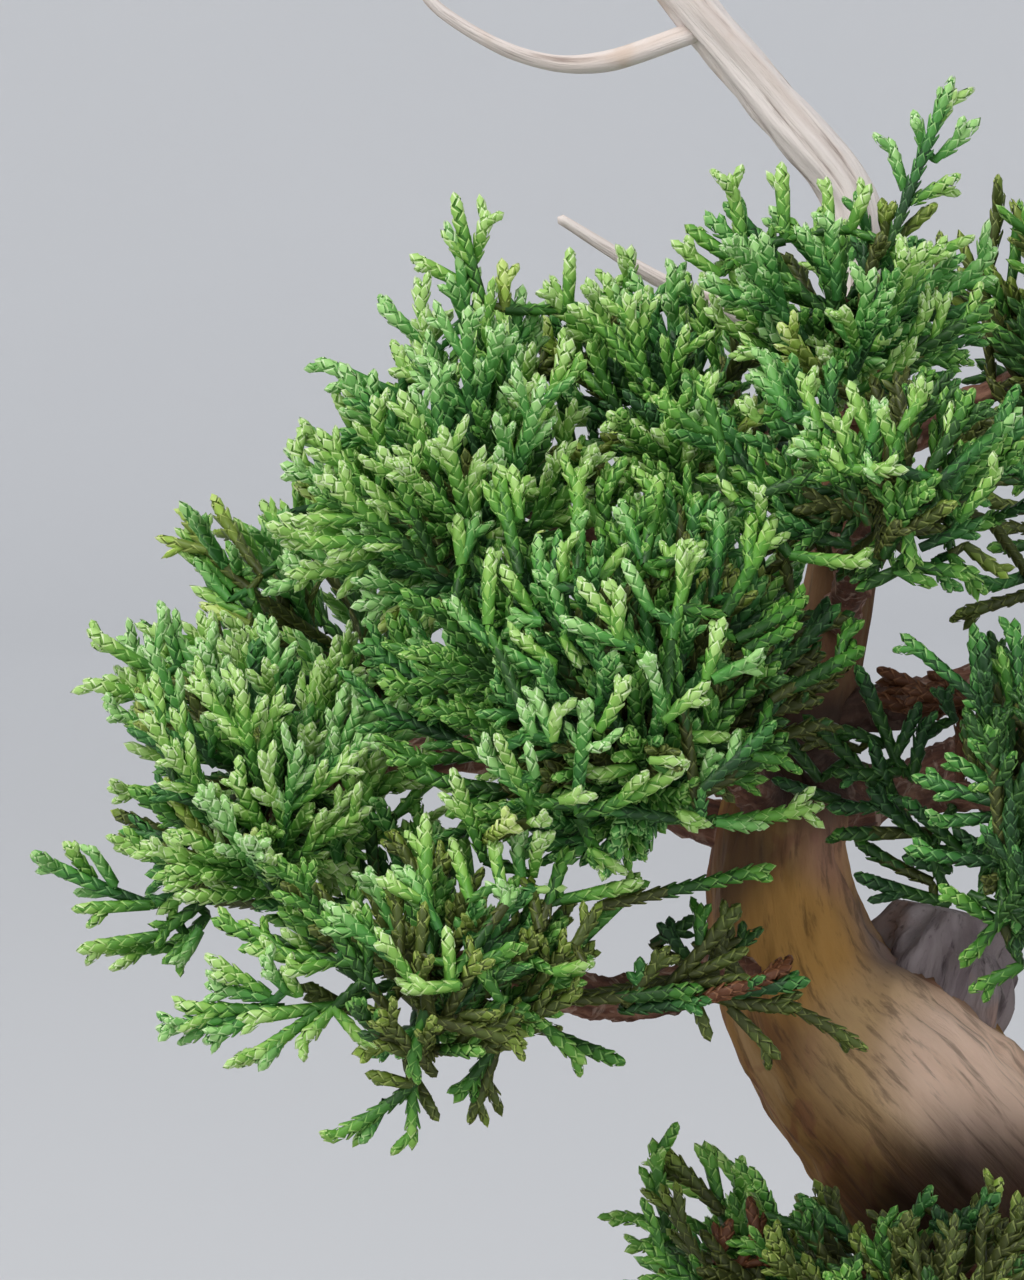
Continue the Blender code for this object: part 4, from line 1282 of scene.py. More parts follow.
def leaf_slot(kind, age):
    """The slot of a leaf of a spray of that kind, that many pairs behind its shoot's tip."""
    return TONE_SLOTS[kind, np.searchsorted(AGE_STEPS, age)]


def across(vectors):
    """A unit vector at right angles to each of the given ones."""
    other = np.where(np.abs(vectors[:, 2:3]) < 0.8, [[0.0, 0.0, 1.0]], [[1.0, 0.0, 0.0]])
    sideways = np.cross(vectors, other)
    return sideways / np.linalg.norm(sideways, axis=1)[:, None]


def numbered(counts):
    """For every one of so many items on each shoot: which shoot it is on, and its number there."""
    which = np.repeat(np.arange(len(counts)), counts)
    return which, np.arange(len(which)) - np.repeat(np.cumsum(counts) - counts, counts)


class Clothing:
    """Points, triangles and colour slots of the leaves and the cores of many shoots."""

    def __init__(self, shoots, seed):
        self.chance = np.random.default_rng(seed)
        columns = [np.array(values) for values in zip(*shoots)]
        self.start, self.aim, self.bend, self.length, self.base, self.tip = columns[:6]
        self.age, roll, fine, self.kind = columns[6:]
        side = across(self.aim)
        up = np.cross(self.aim, side)
        cos, sin = np.cos(roll)[:, None], np.sin(roll)[:, None]
        self.side = side * cos + up * sin
        self.up = up * cos - side * sin
        pitch = np.where(fine, LEAF_PITCH, BACK_LEAF_PITCH)
        self.pairs = np.maximum(2, np.round(self.length / pitch)).astype(int)

    def on_shoot(self, which, s):
        """The points that far along the shoots, and the directions there."""
        spot = self.start[which] + self.aim[which] * s[:, None] + self.bend[which] * (s**2 / 2)[:, None]
        axis = self.aim[which] + self.bend[which] * s[:, None]
        return spot, axis / np.linalg.norm(axis, axis=1)[:, None]

    def outwards(self, which, axis, cos, sin):
        """Directions across the axes, turned round them by the angle with that cosine and sine."""
        out = self.side[which] * cos + self.up[which] * sin
        return out - axis * (out * axis).sum(1)[:, None]

    def leaves(self):
        which, order = numbered(self.pairs)
        which, order = np.repeat(which, 2), np.repeat(order, 2)
        pairs = self.pairs[which]
        step = self.length[which] / pairs
        spot, axis = self.on_shoot(which, order * step)
        opposite = np.tile((0.0, math.pi), len(order) // 2)
        turn = order * math.pi / 2 + opposite + self.chance.normal(0, LEAF_TWIST, len(order))
        out = self.outwards(which, axis, np.cos(turn)[:, None], np.sin(turn)[:, None])
        out /= np.linalg.norm(out, axis=1)[:, None]
        beside = np.cross(axis, out)
        radius = self.base[which] + (self.tip[which] - self.base[which]) * order / pairs
        radius *= self.chance.uniform(*LEAF_SPREADS, len(order))
        behind = pairs - 1 - order
        closing = CLOSINGS[np.minimum(behind, len(CLOSINGS) - 1)]
        reach = step * LEAF_REACH * self.chance.uniform(*LEAF_LENGTHS, len(order))
        reach *= 1 - CLOSED_SHORTER * closing
        age = behind + self.age[which] + self.chance.normal(0, TONE_SPREAD, len(order))
        along, angles, far, closes = LEAF[:, 0, None], np.radians(LEAF[:, 1]), LEAF[:, 2], LEAF[:, 3]
        far = far * (1 - closes * closing[:, None]) * radius[:, None]
        sideways = out[:, None] * np.cos(angles)[:, None] + beside[:, None] * np.sin(angles)[:, None]
        forward = axis[:, None] * (along * reach[:, None, None])
        points = spot[:, None] + forward + sideways * far[:, :, None]
        starts = np.arange(len(which)) * len(LEAF)
        slots = leaf_slot(self.kind[which], age)[:, None] * 2 + LEAF_MARGINS
        return points.reshape(-1, 3), (LEAF_FACES + starts[:, None, None]).reshape(-1, 3), slots.ravel()

    def cores(self, first):
        """Four-sided, corners between the leaves, capped at the tip. Their points are numbered from first."""
        segments = np.maximum(1, np.ceil(self.length / CORE_STEP)).astype(int)
        which, order = numbered(segments + 1)
        share = order / segments[which]
        spot, axis = self.on_shoot(which, share * self.length[which])
        radius = (self.base[which] + (self.tip[which] - self.base[which]) * share) * CORE_SHARE
        at_end = order == segments[which]
        radius *= np.where(at_end, CORE_END, 1.0)
        corners = []
        for k in range(4):
            turn = (k + 0.5) * math.pi / 2
            out = self.outwards(which, axis, math.cos(turn), math.sin(turn))
            corners.append(spot + out * radius[:, None])
        shoots = np.arange(len(segments))
        caps = self.on_shoot(shoots, self.length + CAP_REACH * self.tip)[0]
        rings = first + np.arange(len(which)) * 4
        peaks = first + len(which) * 4 + shoots
        lower, last = rings[~at_end], rings[at_end]
        on = which[~at_end]
        tone = leaf_slot(self.kind[on], (1 - share[~at_end]) * self.pairs[on] + self.age[on]) * 2
        youngest = leaf_slot(self.kind, self.age) * 2
        faces, slots = [], []
        for k in range(4):
            here, beside = lower + k, lower + (k + 1) % 4
            faces.append(np.stack([here, beside, beside + 4], axis=-1))
            faces.append(np.stack([here, beside + 4, here + 4], axis=-1))
            faces.append(np.stack([last + k, last + (k + 1) % 4, peaks], axis=-1))
            slots.extend((tone, tone, youngest))
        points = np.concatenate([np.stack(corners, axis=1).reshape(-1, 3), caps])
        return points, np.concatenate(faces), np.concatenate(slots)

    def arrays(self):
        leaves = self.leaves()
        cores = self.cores(len(leaves[0]))
        return [np.concatenate(both) for both in zip(leaves, cores)]


def bent(start, aim, bend, s):
    """The point and direction that far along a bent shoot."""
    return start + aim * s + bend * (s * s / 2), (aim + bend * s).normalized()


def turned(aim, roll, angle):
    """The direction turned away by the angle, in radians, to the side that the roll gives."""
    axis = Matrix.Rotation(roll, 3, aim) @ aim.orthogonal().normalized()
    return Matrix.Rotation(angle, 3, axis) @ aim


UP = Vector((0, 0, 1))
BACKWARD = Vector((0, 1, 0))
ABOUT_A_TURN = 6.28

# Room: where along a shoot it is tested, how near limbs it may come, and how masses share the space between
# them
TESTED_AT = (0.55, 1.0)
LIMB_GAP = 0.75
NEIGHBOUR_LEAD = 0.02
NEIGHBOUR_REACH = 0.97
# A shoot's radius, and its radii at the two ends as shares of it
SHOOT_RADIUS = 0.41
BASE_SHARE = 0.84
TIP_SHARES = (1.08, 1.36)
# How a main shoot bows towards the light and wavers
BOWS = (0.0, 0.05)
WAVER = 0.02
# Side shoots: the step between them, the stretch of the main shoot that they leave, how far their sides
# turn out of the view on front masses, and their angles, lengths, ages, bends and radii
SIDE_STEP = 2.3
SIDES_FROM = 0.22
SIDES_SPAN = 0.70
SIDE_PLACES = (0.2, 0.8)
SIDE_TURNS = (-0.5, 0.5)
VIEW_TURNS = (-1.1, 1.1)
SIDE_ANGLES = (28, 46)
SIDE_REACH = 0.52
SIDE_TAPER = 0.45
SIDE_LENGTHS = (0.6, 1.25)
LEAST_SIDE = 1.3
MOST_SIDE = 3.8
SIDE_AGES = (-0.5, 1.5)
SIDE_BENDS = (0.04, 0.16)
SIDE_RADII = (0.84, 0.98)
# Buds: the side shoots long enough to carry one, how many a main shoot has, where they leave, and their
# sizes
BUDDED = 3.0
BUD_COUNTS = (0, 1, 1, 2)
BUD_PLACES = (0.35, 0.7)
BUDS_BEHIND_TIP = (0.5, 1.8)
BUD_ANGLES = (30, 48)
BUD_LENGTHS = (0.9, 1.6)
BUD_RADIUS = 0.95
SIDE_BUD_RADIUS = 0.86
# Woody twigs: their radii and bow, how far their end is clothed in old leaves, and how old and thick these
# are
TWIG_START = 0.38
TWIG_END = 0.30
TWIG_BOWS = (-0.6, 0.6)
LEAST_TWIG = 0.5
TWIG_OVERLAP = 0.4
CLOTHED = 5.0
LONG_CLOTHED = 14.0
CLOTHED_AGE = 9.0
CLOTHED_RADIUS = SHOOT_RADIUS * 0.86
# Marked shoots: how their depths and ages vary, how near a twig needs no stem, and how many knots each
# gives to later ones. A mass's front is rounded down to this share of its depth at its edge.
START_DEPTHS = (0.0, 1.0)
TIP_DEPTHS = (-1.5, 0.5)
MARKED_AGES = (-0.5, 0.8)
JOINED_WITHIN = 0.4
KNOTS = 6
LEAST_BULGE = 0.15
# Bunches: how much of the aim towards the viewer is kept in front, how much all tend upwards, the main
# shoot's length, and how the other shoots leave it
FACING = 0.35
LIFT = 0.45
BUNCH_REACH = 0.66
LEAST_BUNCH = 4.5
MOST_BUNCH = 10.0
BUNCH_AGES = (0, 1.5)
BUNCH_RADII = (0.88, 1.06)
MAIN_SIDES = 0.9
SHORTENED = 0.72
SPRAY_PLACES = (0.0, 0.4)
SPRAY_TURNS = (-0.6, 0.6)
SPRAY_ANGLES = (22, 40)
SPRAY_LENGTHS = (0.55, 0.9)
SPRAY_RADII = (0.9, 1.0)
SPRAY_AGES = (0, 1)
SPRAY_SIDES = 0.75
STEM_END = 0.1


class Grower:
    """Grows twigs and shoots of one mass, keeping to its space, off the limbs and out of the sky gaps."""

    def __init__(self, mass, fine):
        self.mass = mass
        self.fine = fine
        self.dice = random.Random(100 + MASSES.index(mass))
        self.shoots = []
        self.twigs = []
        bough = PATHS[mass.name]
        self.hub = foot_and_hub(mass, bough[0].xyz)[1]
        self.knots = [self.hub, bough[-1].xyz]
        self.freely = False
        self.kind = 0

    def allowed(self, point):
        own = min(share_out(self.mass, point), 1.0)
        for other in MASSES:
            if other is not self.mass:
                there = share_out(other, point)
                if there < own + NEIGHBOUR_LEAD and there < NEIGHBOUR_REACH:
                    return False
        return in_dense_foliage(point) and not near_limb(point, LIMB_GAP)

    def note(self, start, aim, bend, length, radii, age, roll):
        ends = (tuple(start), tuple(aim), tuple(bend))
        self.shoots.append(Shoot(*ends, length, *radii, age, roll, self.fine, self.kind))

    def shoot(self, start, aim, bend, length, radius, age):
        """Notes a shoot if its outer part is allowed, or if it is placed freely."""
        for share in TESTED_AT:
            if not self.freely and not self.allowed(bent(start, aim, bend, length * share)[0]):
                return False
        tip = radius * self.dice.uniform(*TIP_SHARES)
        roll = self.dice.uniform(0, math.tau)
        # Painted shade or light: the shoot's tones are made older or younger by where it ends in the picture.
        if self.kind != DEAD:
            age += shade(bent(start, aim, bend, length)[0])
        self.note(start, aim, bend, length, (radius * BASE_SHARE, tip), age, roll)
        return True

    def side_roll(self, aim):
        """The roll that spreads a shoot's sides across the view, where the mass faces the viewer."""
        if not self.fine:
            return self.dice.uniform(0, math.tau)
        first = aim.orthogonal().normalized()
        level = math.atan2(aim.cross(first).dot(BACKWARD), first.dot(BACKWARD))
        return level + self.dice.uniform(*VIEW_TURNS)

    def spray(self, start, tip, radius, age, sides=1.0, lean=UP):
        """A main shoot that bows towards the lean, up to its tip, with side shoots and small buds on them."""
        dice = self.dice
        chord = tip - start
        length = chord.length
        rise = lean - chord.normalized() * lean.dot(chord.normalized())
        bow = rise * dice.uniform(*BOWS)
        bend = bow + turned(chord, dice.uniform(0, ABOUT_A_TURN), math.pi / 2).normalized() * WAVER
        aim = ((chord - bend * (length**2 / 2)) / length).normalized()
        if not self.shoot(start, aim, bend, length, radius, age):
            return False
        count = round(length / SIDE_STEP * sides)
        roll = self.side_roll(aim)
        for k in range(count):
            share = SIDES_FROM + SIDES_SPAN * (k + dice.uniform(*SIDE_PLACES)) / count
            point, along = bent(start, aim, bend, length * share)
            roll += math.pi + dice.uniform(*SIDE_TURNS)
            away = turned(along, roll, math.radians(dice.uniform(*SIDE_ANGLES)))
            reach = min(length * (1 - SIDE_TAPER * share) * SIDE_REACH, MOST_SIDE)
            reach *= dice.uniform(*SIDE_LENGTHS)
            if reach < LEAST_SIDE:
                continue
            side_age = age + dice.uniform(*SIDE_AGES)
            side_bend = (aim - away * aim.dot(away)) * dice.uniform(*SIDE_BENDS)
            thin = radius * dice.uniform(*SIDE_RADII)
            if self.shoot(point, away, side_bend, reach, thin, side_age) and reach > BUDDED:
                there = reach * dice.uniform(*BUD_PLACES)
                self.bud(point, away, side_bend, there, radius * SIDE_BUD_RADIUS, side_age)
        if self.fine:
            for _ in range(dice.choice(BUD_COUNTS)):
                self.bud(start, aim, bend, length - dice.uniform(*BUDS_BEHIND_TIP), radius * BUD_RADIUS, age)
        return True

    def bud(self, start, aim, bend, there, radius, age):
        """A short shoot on another, that far along it."""
        dice = self.dice
        point, along = bent(start, aim, bend, there)
        roll = self.side_roll(along) + dice.choice((0, math.pi))
        away = turned(along, roll, math.radians(dice.uniform(*BUD_ANGLES)))
        self.shoot(point, away, Vector((0, 0, 0)), dice.uniform(*BUD_LENGTHS), radius, age)

    def stem(self, start, end, age, clothed=CLOTHED):
        """A slightly bowed woody twig whose outer stretch is still clothed in old leaves."""
        aim = (end - start).normalized()
        leafy = min((end - start).length, clothed)
        foot = end - aim * leafy
        if (foot - start).length > LEAST_TWIG:
            bare = foot + aim * TWIG_OVERLAP
            middle = start.lerp(bare, 0.5) + Vector([self.dice.uniform(*TWIG_BOWS) for _ in range(3)])
            radii = (TWIG_START, (TWIG_START + TWIG_END) / 2, TWIG_END)
            self.twigs.append([Vector((*spot, radius)) for spot, radius in zip((start, middle, bare), radii)])
        roll = self.dice.uniform(0, math.tau)
        self.note(foot, aim, (0, 0, 0), leafy, (CLOTHED_RADIUS, CLOTHED_RADIUS), age + CLOTHED_AGE, roll)

    def pick_kind(self, age):
        if self.mass.name in COOL_MASSES:
            shares = COOL_SHARES
        else:
            shares = OLD_SHARES if age >= OLD_FROM.get(self.mass.name, OLD_ELSEWHERE) else YOUNG_SHARES
        self.kind = self.dice.choices(range(len(shares)), shares)[0]

    def rounded(self, x, y, depth):
        """The point behind the pixel, at that depth in the middle of the mass and further back at its edge."""
        centre, (wide, _, high) = self.mass.centre, self.mass.radii
        point = behind_pixel(x, y, depth)
        if depth > centre[1]:
            return point
        out = ((point.x - centre[0]) / wide) ** 2 + ((point.z - centre[2]) / high) ** 2
        return behind_pixel(x, y, centre[1] + (depth - centre[1]) * math.sqrt(max(LEAST_BULGE, 1 - out)))

    def placed(self, depth, age, marks):
        """Single shoots between marked pixels of the picture, each joined to the nearest twig or shoot."""
        self.freely = True
        for base_x, base_y, tip_x, tip_y, sides in marks:
            self.pick_kind(age)
            if age >= DEAD_AGE:
                self.kind = DEAD
            start = self.rounded(base_x, base_y, depth + self.dice.uniform(*START_DEPTHS))
            tip = self.rounded(tip_x, tip_y, depth + self.dice.uniform(*TIP_DEPTHS))
            nearest = min(self.knots, key=lambda knot: (knot - start).length)
            if (nearest - start).length > JOINED_WITHIN:
                self.stem(nearest, start, age, LONG_CLOTHED)
            self.spray(start, tip, SHOOT_RADIUS, age + self.dice.uniform(*MARKED_AGES), sides)
            self.knots.extend(start.lerp(tip, k / KNOTS) for k in range(KNOTS))
        self.freely = False

    def bunch(self, tip, size, age=0.0):
        """A twig from the hub to a main shoot that ends at the tip, and shoots that leave and follow it."""
        dice = self.dice
        grow = (tip - self.hub).normalized()
        if self.fine and grow.y < 0:
            grow.y *= FACING
        grow = (grow + UP * LIFT).normalized()
        length = min(max((tip - self.hub).length * BUNCH_REACH, LEAST_BUNCH), MOST_BUNCH)
        base = tip - grow * length
        self.pick_kind(age + self.mass.age)
        age += self.mass.age + dice.uniform(*BUNCH_AGES)
        thick = SHOOT_RADIUS * dice.uniform(*BUNCH_RADII)
        grown = self.spray(base, tip, thick, age, MAIN_SIDES)
        if not grown:
            tip = base.lerp(tip, SHORTENED)
            grown = self.spray(base, tip, thick, age, MAIN_SIDES)
        roll = self.side_roll(grow)
        for _ in range(size - 1):
            start = base.lerp(tip, dice.uniform(*SPRAY_PLACES))
            roll += math.pi + dice.uniform(*SPRAY_TURNS)
            aim = turned(grow, roll, math.radians(dice.uniform(*SPRAY_ANGLES)))
            goal = start + aim * length * dice.uniform(*SPRAY_LENGTHS)
            if dice.random() < KIND_CHANGE:
                self.pick_kind(age)
            thin = thick * dice.uniform(*SPRAY_RADII)
            grown |= self.spray(start, goal, thin, age + dice.uniform(*SPRAY_AGES), SPRAY_SIDES, grow)
        if grown:
            self.stem(self.hub, base.lerp(tip, STEM_END), age)


TWIG_COLOURS = {"Twig_red_brown": (66, 44, 32), "Twig_brown": (58, 48, 32), "Twig_olive": (56, 62, 30)}
TWIG_SLOTS = (0, 1, 2, 2)
# The mass without bunches of its own, grown from marked shoots only
MARKED_ONLY = "front_twig"
LEAST_BUNCHES = 6
# How far out the bunches of the outside and the inside end, how much the outer ones tend upwards, and how
# many sprays and what ages the inner ones have
OUTSIDE = (0.94, 1.06)
INSIDE = (0.55, 0.82)
OUTSIDE_RISE = 0.06
INSIDE_SPRAYS = 2
INSIDE_AGES = (3.0, 12.0)


class JuniperFoliage(PropertyGroup):
    """How dense the foliage is."""

    front_area: FloatProperty(
        name="Area of a front spray",
        description="Surface of the masses nearest the viewer for each spray, in square millimetres",
        default=15.0,
        min=6.0,
    )
    back_area: FloatProperty(
        name="Area of a back spray",
        description="Surface of the other masses for each spray, in square millimetres",
        default=30.0,
        min=6.0,
    )
    bunch: FloatProperty(
        name="Sprays in a bunch",
        description="How many sprays grow from the end of one twig",
        default=3.0,
        min=1.0,
        max=6.0,
    )


class JUNIPER_OT_foliage(Operator):
    """Grow the masses of scale foliage and the twigs that carry them"""

    bl_idname = "juniper.foliage"
    bl_label = "Foliage"

    def grow(self, grower, size, count):
        """Bunches at the mass's leaders, over its surface, inside it and in gaps beside it, and marked shoots."""
        mass, dice = grower.mass, grower.dice
        older, sparser, back = BACKDROPS.get(mass.name, NO_BACKDROP)
        count = max(LEAST_BUNCHES, round(count / sparser))
        if mass.name != MARKED_ONLY:
            for tip in LEADERS.get(mass.name, ()):
                grower.bunch(Vector(tip), 1)
            for direction in spray_directions(mass, count, OUTSIDE_RISE):
                share = dice.uniform(*OUTSIDE) - back * max(0.0, -direction.y)
                grower.bunch(point_out(mass, direction, share), size, older)
            for direction in spray_directions(mass, count):
                place = point_out(mass, -direction, dice.uniform(*INSIDE))
                grower.bunch(place, INSIDE_SPRAYS, dice.uniform(*INSIDE_AGES))
        for mark in FILLS.get(mass.name, ()):
            grower.bunch(behind_pixel(*mark), size, older)
        for depth, age, marks in SHOOTS.get(mass.name, ()):
            grower.placed(depth, age, marks)

    def execute(self, context):
        settings = context.scene.juniper_foliage
        colours = {}
        for name, (colour, margin) in LEAF_COLOURS.items():
            colours.update({name: colour, name + "_margin": margin})
        leaves = plain_materials(colours, 0.48, 0.35)
        wood = plain_materials(TWIG_COLOURS, 0.75, 0.2)
        twig_parts, twig_slots = [], []
        for number, mass in enumerate(MASSES):
            front = mass.name in FRONT_MASSES
            grower = Grower(mass, front)
            size = round(settings.bunch)
            area = settings.front_area if front else settings.back_area
            self.grow(grower, size, max(LEAST_BUNCHES, round(ellipsoid_area(mass) / area / size)))
            points, faces, slots = Clothing(grower.shoots, number).arrays()
            piece = new_object(mesh_from_arrays("Foliage_" + mass.name, points, faces, leaves, slots))
            dress(piece, "foliage", "mass_" + mass.name)
            for path in grower.twigs:
                part = limb_arrays(path, TWIG_DETAIL, lambda *_: 0.0)
                twig_parts.append(part)
                twig_slots.append(np.full(len(part[1]), grower.dice.choice(TWIG_SLOTS)))
        points, faces, _ = joined(twig_parts)
        dress(new_object(mesh_from_arrays("Twigs", points, faces, wood, np.concatenate(twig_slots))), "bark")
        return {"FINISHED"}


# Pot and soil

CORNER_SEGMENTS = 10
# The pot's body ends this far below its rim's top and stands this deep in its foot; its hollow is cut past
# the top
OVERLAP = 1 * MM
EDGE_SEGMENTS = 3
EDGE_ANGLE = math.radians(40)
SMOOTH_ANGLE = math.radians(35)
CLAY_SPECKS = srgb(58, 38, 30)
# The soil's body stays this far from the pot and this far below its level, to leave room for the grains
SOIL_GAP = 0.3 * MM
SOIL_DROP = 0.8 * MM
SOIL_TONES = ((0.3, (52, 40, 32)), (0.7, (104, 80, 58)))

# The soil's grains: colours, and the share of each. Fired clay, pumice and lava.
GRAIN_COLOURS = {
    "Grain_tan": (150, 116, 80),
    "Grain_brown": (112, 82, 58),
    "Grain_dark": (66, 52, 46),
    "Grain_red": (108, 60, 48),
    "Grain_pale": (182, 172, 156),
}
GRAIN_SHARES = (0.34, 0.26, 0.2, 0.12, 0.08)
# How they lie, in millimetres: off the pot's wall and the trunk's foot, how round the corners are that they
# fill, the step between them and their radii as shares of the grain size, and how they are shifted, shaped
# and sunk
WALL_GAP = 1.6
TRUNK_GAP = 7
FILLED_CORNER = 4
CORNER_SLACK = 4.3
GRAIN_STEP = 1.28
GRAIN_RADII = (0.55, 1.05)
GRAIN_SHIFTS = (-0.3, 0.3)
GRAIN_DENTS = (0.72, 1.15)
GRAIN_STRETCHES = (0.8, 1.15)
GRAIN_SUNK = 0.55
GRAIN_HEIGHTS = (-0.5, 0.15)


def deselect_all():
    for item in bpy.context.selected_objects:
        item.select_set(False)


def select_only(piece):
    deselect_all()
    piece.select_set(True)
    bpy.context.view_layer.objects.active = piece


def added(name):
    """The object that an operator just added, under its name."""
    made = bpy.context.active_object
    made.name = name
    made.data.name = name
    return made


def apply_modifiers(piece):
    select_only(piece)
    for modifier in list(piece.modifiers):
        bpy.ops.object.modifier_apply(modifier=modifier.name)


def block(name, length, width, bottom, top, corner, foot_share):
    """A box with rounded upright edges, narrower at its foot by the given share."""
    deselect_all()
    bpy.ops.mesh.primitive_cube_add(size=1, location=(0, 0, (bottom + top) / 2))
    made = added(name)
    made.scale = (length, width, top - bottom)
    bpy.ops.object.transform_apply(location=True, rotation=True, scale=True)
    bpy.ops.object.mode_set(mode="EDIT")
    bpy.ops.mesh.select_mode(type="EDGE")
    bpy.ops.mesh.select_all(action="DESELECT")
    bpy.ops.object.mode_set(mode="OBJECT")
    half = (top - bottom) / 2
    for edge in made.data.edges:
        ends = [made.data.vertices[i].co.z for i in edge.vertices]
        edge.select = abs(ends[0] - ends[1]) > half
    bpy.ops.object.mode_set(mode="EDIT")
    bpy.ops.mesh.bevel(offset=corner, segments=CORNER_SEGMENTS, profile=0.5, affect="EDGES")
    bpy.ops.object.mode_set(mode="OBJECT")
    for vert in made.data.vertices:
        if vert.co.z < (top + bottom) / 2:
            vert.co.x *= foot_share
            vert.co.y *= foot_share
    return made


def combine(target, other, operation):
    """Joins the other shape to the target or cuts it away, and removes it."""
    modifier = target.modifiers.new(operation, "BOOLEAN")
    modifier.operation = operation
    modifier.solver = "EXACT"
    modifier.object = other
    apply_modifiers(target)
    bpy.data.objects.remove(other, do_unlink=True)


def inside_block(name, gap, bottom, top):
    """The pot's inside, less a gap all round."""
    length = POT_LENGTH - 2 * RIM_PROUD - 2 * POT_WALL - 2 * gap
    width = POT_WIDTH - 2 * RIM_PROUD - 2 * POT_WALL - 2 * gap
    slope = (1 - POT_TAPER) / (POT_HEIGHT - POT_FLOOR)
    wide = 1 - slope * (POT_HEIGHT - top)
    narrow = (1 - slope * (POT_HEIGHT - bottom)) / wide
    return block(name, length * wide, width * wide, bottom, top, POT_CORNER - gap, narrow)


def clay_finish(colour):
    """Unglazed brown stoneware: fine grains, faint cloudiness and dark specks."""
    clay = Finish("Pot_clay", 0.6, 0.35)
    place = clay.place()
    grains = clay.noise(place, 2600.0, 3.0)
    clouds = clay.noise(place, 55.0, 4.0)
    specks = clay.cells(place, 1500.0)
    base = clay.mix(clouds.band(0.35, 0.65), tuple(colour), tuple(1.5 * value for value in colour))
    clay.colour(clay.mix((1.0 - specks.band(0.12, 0.3)) * 0.35, base, CLAY_SPECKS))
    clay.roughness(0.52 + grains * 0.3)
    clay.bump(grains, 0.12, 0.8)
    return clay.material


def soil_finish():
    soil = Finish("Soil", 0.95, 0.1)
    grains = soil.noise(soil.place(), 900.0, 4.0, 0.7)
    soil.colour(soil.ramp(grains, SOIL_TONES))
    soil.bump(grains, 0.5, 1.0)
    return soil.material


class JuniperPot(PropertyGroup):
    """The pot's edges and clay, and the soil's grains."""

    edge: FloatProperty(
        name="Edge radius",
        description="How far the pot's edges are rounded",
        default=0.7 * MM,
        subtype="DISTANCE",
        unit="LENGTH",
    )
    clay: FloatVectorProperty(
        name="Clay",
        description="Colour of the unglazed clay",
        default=srgb(112, 74, 54),
        subtype="COLOR",
        size=3,
        min=0,
        max=1,
    )
    grain: FloatProperty(
        name="Grain size",
        description="Mean radius of the soil's grains",
        default=0.95 * MM,
        subtype="DISTANCE",
        unit="LENGTH",
    )


class JUNIPER_OT_pot(Operator):
    """Make the plain rectangular pot with its rim and foot"""

    bl_idname = "juniper.pot"
    bl_label = "Pot"

    def execute(self, context):
        settings = context.scene.juniper_pot
        length = POT_LENGTH - 2 * RIM_PROUD
        width = POT_WIDTH - 2 * RIM_PROUD
        pot = block("Pot", length, width, FOOT_HEIGHT, POT_HEIGHT - OVERLAP, POT_CORNER, POT_TAPER)
        low, corner = POT_HEIGHT - RIM_HEIGHT, POT_CORNER + RIM_PROUD
        rim = block("rim", POT_LENGTH, POT_WIDTH, low, POT_HEIGHT, corner, RIM_TAPER)
        length, width = (size * POT_TAPER - 2 * FOOT_INSET for size in (length, width))
        foot = block("foot", length, width, 0, FOOT_HEIGHT + OVERLAP, POT_CORNER, 1)
        combine(pot, rim, "UNION")
        combine(pot, foot, "UNION")
        combine(pot, inside_block("hollow", 0, POT_FLOOR, POT_HEIGHT + 2 * OVERLAP), "DIFFERENCE")
        soften = pot.modifiers.new("soften", "BEVEL")
        soften.width = settings.edge
        soften.segments = EDGE_SEGMENTS
        soften.limit_method = "ANGLE"
        soften.angle_limit = EDGE_ANGLE
        apply_modifiers(pot)
        bpy.ops.object.shade_smooth_by_angle(angle=SMOOTH_ANGLE)
        pot.data.materials.clear()
        pot.data.materials.append(clay_finish(settings.clay))
        dress(pot, "pot", "pot")
        return {"FINISHED"}


